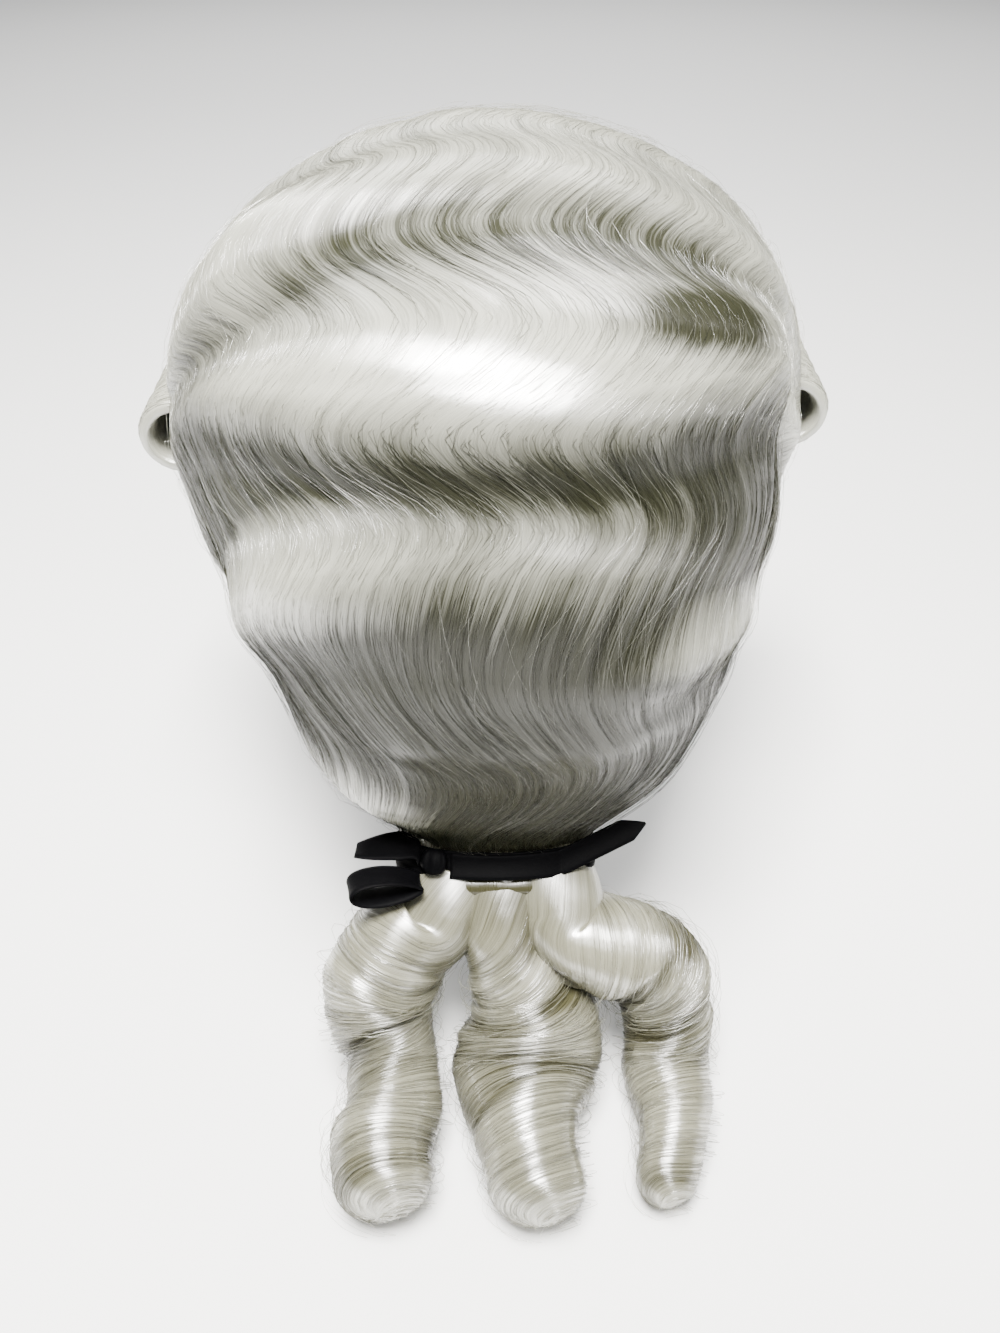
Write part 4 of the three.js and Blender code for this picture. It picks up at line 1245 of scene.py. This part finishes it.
def creased_band():
    """The stretch that goes round the queue, with long creases from being drawn tight."""
    turn, across = np.meshgrid(np.linspace(0, 1, 180, endpoint=False), np.linspace(0, 1, 15), indexing="ij")
    ends = np.sin(np.pi * across)
    creases = soft_noise(across, (turn * 3) % 1, 6, 7, 81) * 0.00045 * ends
    lift = piece_gap + ribbon_thickness * 0.6 + creases
    middle = queue_point(tie_top + (tie_bottom - tie_top) * across, turn, lift)
    band = cloth_skin("satin_band", middle, closed=True)
    length = middle_length(np.concatenate([middle, middle[:1]]))
    wear_ribbon(band, "ribbon_band", length)


creased_band()

# %% Directions at the knot
knot_width = 0.009
knot_height = 0.009
knot_depth = 0.006
knot_cloth = (0.03, 0.012)
knot_along = 0.33
knot_turn = 57 / 360
bow_turn = 74 / 360
knot_lift = band_outside + 4 * piece_gap + knot_depth / 2


def queue_ways(turn):
    """Away along the ribbon to the left, down the queue, and out from it."""
    here = queue_point(tie_middle, turn, 0)
    away = unit(queue_point(tie_middle, turn - 1 / 360, 0) - here)
    out = unit(np.cross(away, queue_point(tie_middle + 0.05, turn, 0) - here))
    return {"away": away, "down": np.cross(out, away), "out": out}


def mixed(ways, away, down, out):
    """A direction from its shares of the three."""
    return unit(away * ways["away"] + down * ways["down"] + out * ways["out"])


knot_place = queue_point(knot_along, knot_turn, knot_lift)
print("the knot stands at", (knot_place * 1000).round(1), "mm")

# %% The knot
def tied_knot():
    """A small pad of ribbon wrapped over itself, with folds that run up and down."""
    ways = queue_ways(knot_turn)
    steps, turns = np.linspace(0, np.pi, 41), np.linspace(0, 2 * np.pi, 65)
    up, turn = np.meshgrid(steps, turns, indexing="ij")
    folds = 1 + 0.05 * np.cos(7 * turn) * np.sin(up) ** 2 + 0.03 * np.cos(11 * turn + 1) * np.sin(up) ** 2

    def squared(value):
        return np.sign(value) * np.abs(value) ** 0.8 * np.sin(up) ** 0.7 * folds

    x, z = squared(np.cos(turn)) * knot_width / 2, squared(np.sin(turn)) * knot_depth / 2
    y = np.cos(up) * knot_height / 2
    points = knot_place + x[..., None] * ways["away"] - y[..., None] * ways["down"]
    points = points + z[..., None] * ways["out"]
    rows, columns = up.shape
    index = np.arange(rows * (columns - 1)).reshape(rows, columns - 1)
    index = np.concatenate([index, index[:, :1]], 1)
    faces, uvs = quads(index, turn / (2 * np.pi) * knot_cloth[0], up / np.pi * knot_cloth[1])
    knot = make_piece("tied_knot", points[:, :-1], faces, "cloth", uvs, satin)
    face_outwards(knot, merge=1e-5)
    stand_for(knot, "ribbon_knot")


tied_knot()

# %% The loop and the two ends
loop_length = 0.025
loop_height = 0.0105
loop_opening = 0.03
left_tail_length = 0.022
tail_rise = 0.003
tail_turn = (22, 66)
right_tail_length = 0.034
tail_tip = 0.66
tail_cut = 0.34
queue_sides = 28
right_tail_from = 5 / queue_sides
right_tail_to = 10 / queue_sides


def strip(middle_line, width_way, face_way, breadth, cup):
    """A grid for a strip: its middle line, with a little cup across its width."""
    across = np.linspace(-1, 1, 11)
    over = (across[None, :, None] * breadth[:, None, None] / 2) * width_way
    return middle_line[:, None] + over + (cup[:, None, None] * (1 - across[None, :, None] ** 2)) * face_way


def leave_knot(ways, away, down):
    """Where a stretch of ribbon leaves the knot."""
    return knot_place + ways["away"] * away * knot_width / 2 + ways["down"] * down * ribbon_width / 2


def bow_loop():
    """The loop of the bow, which leans to the left of the knot."""
    ways = queue_ways(bow_turn)
    reach, width = mixed(ways, 0.95, 0.13, 0.3), mixed(ways, -0.3, 0.56, 0.8)
    rise = unit(np.cross(width, reach))
    width = unit(np.cross(reach, rise))
    root = leave_knot(ways, 0.8, 1.3)
    share = np.linspace(0, 1, 91)
    u = (loop_opening + (1 - 2 * loop_opening) * share) * 2 * np.pi
    out = (loop_length * (1 - np.cos(u)) / 2)[:, None] * reach
    line = root + out + (loop_height * np.sin(u) / 2 * np.sin(u / 2) ** 0.5)[:, None] * rise
    tangent = unit(np.gradient(line, axis=0))
    face = unit(np.cross(tangent, width))
    breadth = ribbon_width * (0.85 + 0.15 * np.sin(share * np.pi) ** 0.5)
    crease = 0.0009 * (1 - np.sin(share * np.pi)) + 0.0003
    middle = strip(line, width, face[:, None], breadth, crease)
    loop = cloth_skin("bow_loop", middle)
    wear_ribbon(loop, "bow_loop_left", middle_length(middle))


def left_tail():
    """The end at the left, above the loop, which turns its face up towards its cut."""
    ways = queue_ways(bow_turn)
    reach, up = mixed(ways, 0.98, -0.05, 0.12), mixed(ways, 0, -1, 0)
    up = unit(up - reach * np.dot(up, reach))
    out = np.cross(reach, up)
    root = leave_knot(ways, 1.1, -0.3)
    share = np.linspace(0, 1, 41)
    turn = np.radians(tail_turn[0] + (tail_turn[1] - tail_turn[0]) * share**2)[:, None]
    width = up * np.cos(turn) + out * np.sin(turn)
    line = root + (share * left_tail_length)[:, None] * reach
    line += (tail_rise * np.sin(np.sqrt(share) * np.pi))[:, None] * up
    breadth = ribbon_width * (0.62 + 0.38 * smooth_step(0, 0.33, share))
    face = unit(np.cross(reach, width))
    middle = strip(line, width[:, None], face[:, None], breadth, 0.0009 * (1 - share) + 0.0003)
    tail = cloth_skin("left_tail", middle)
    wear_ribbon(tail, "ribbon_tail_left", middle_length(middle))


def right_tail():
    """The end at the right: it lies on the band round the back and then stands away."""
    across = np.linspace(0, 1, 11)
    turn = np.linspace(right_tail_from, right_tail_to, 34)
    along = tie_top + (tie_bottom - tie_top) * across
    lying = queue_point(along[None, :], turn[:, None], band_outside + piece_gap + ribbon_thickness / 2)
    reach = mixed(queue_ways(right_tail_to), -0.93, -0.34, 0.26)
    share = np.linspace(0, 1, 41)[1:]
    cut = 1 - tail_cut * np.abs(across - tail_tip)[None, :] / tail_tip * share[:, None]
    free = lying[-1][None] + (share[:, None] * cut * right_tail_length)[..., None] * reach
    middle = np.concatenate([lying, free])
    tail = cloth_skin("right_tail", middle)
    wear_ribbon(tail, "ribbon_tail_right", middle_length(middle))


bow_loop()
left_tail()
right_tail()
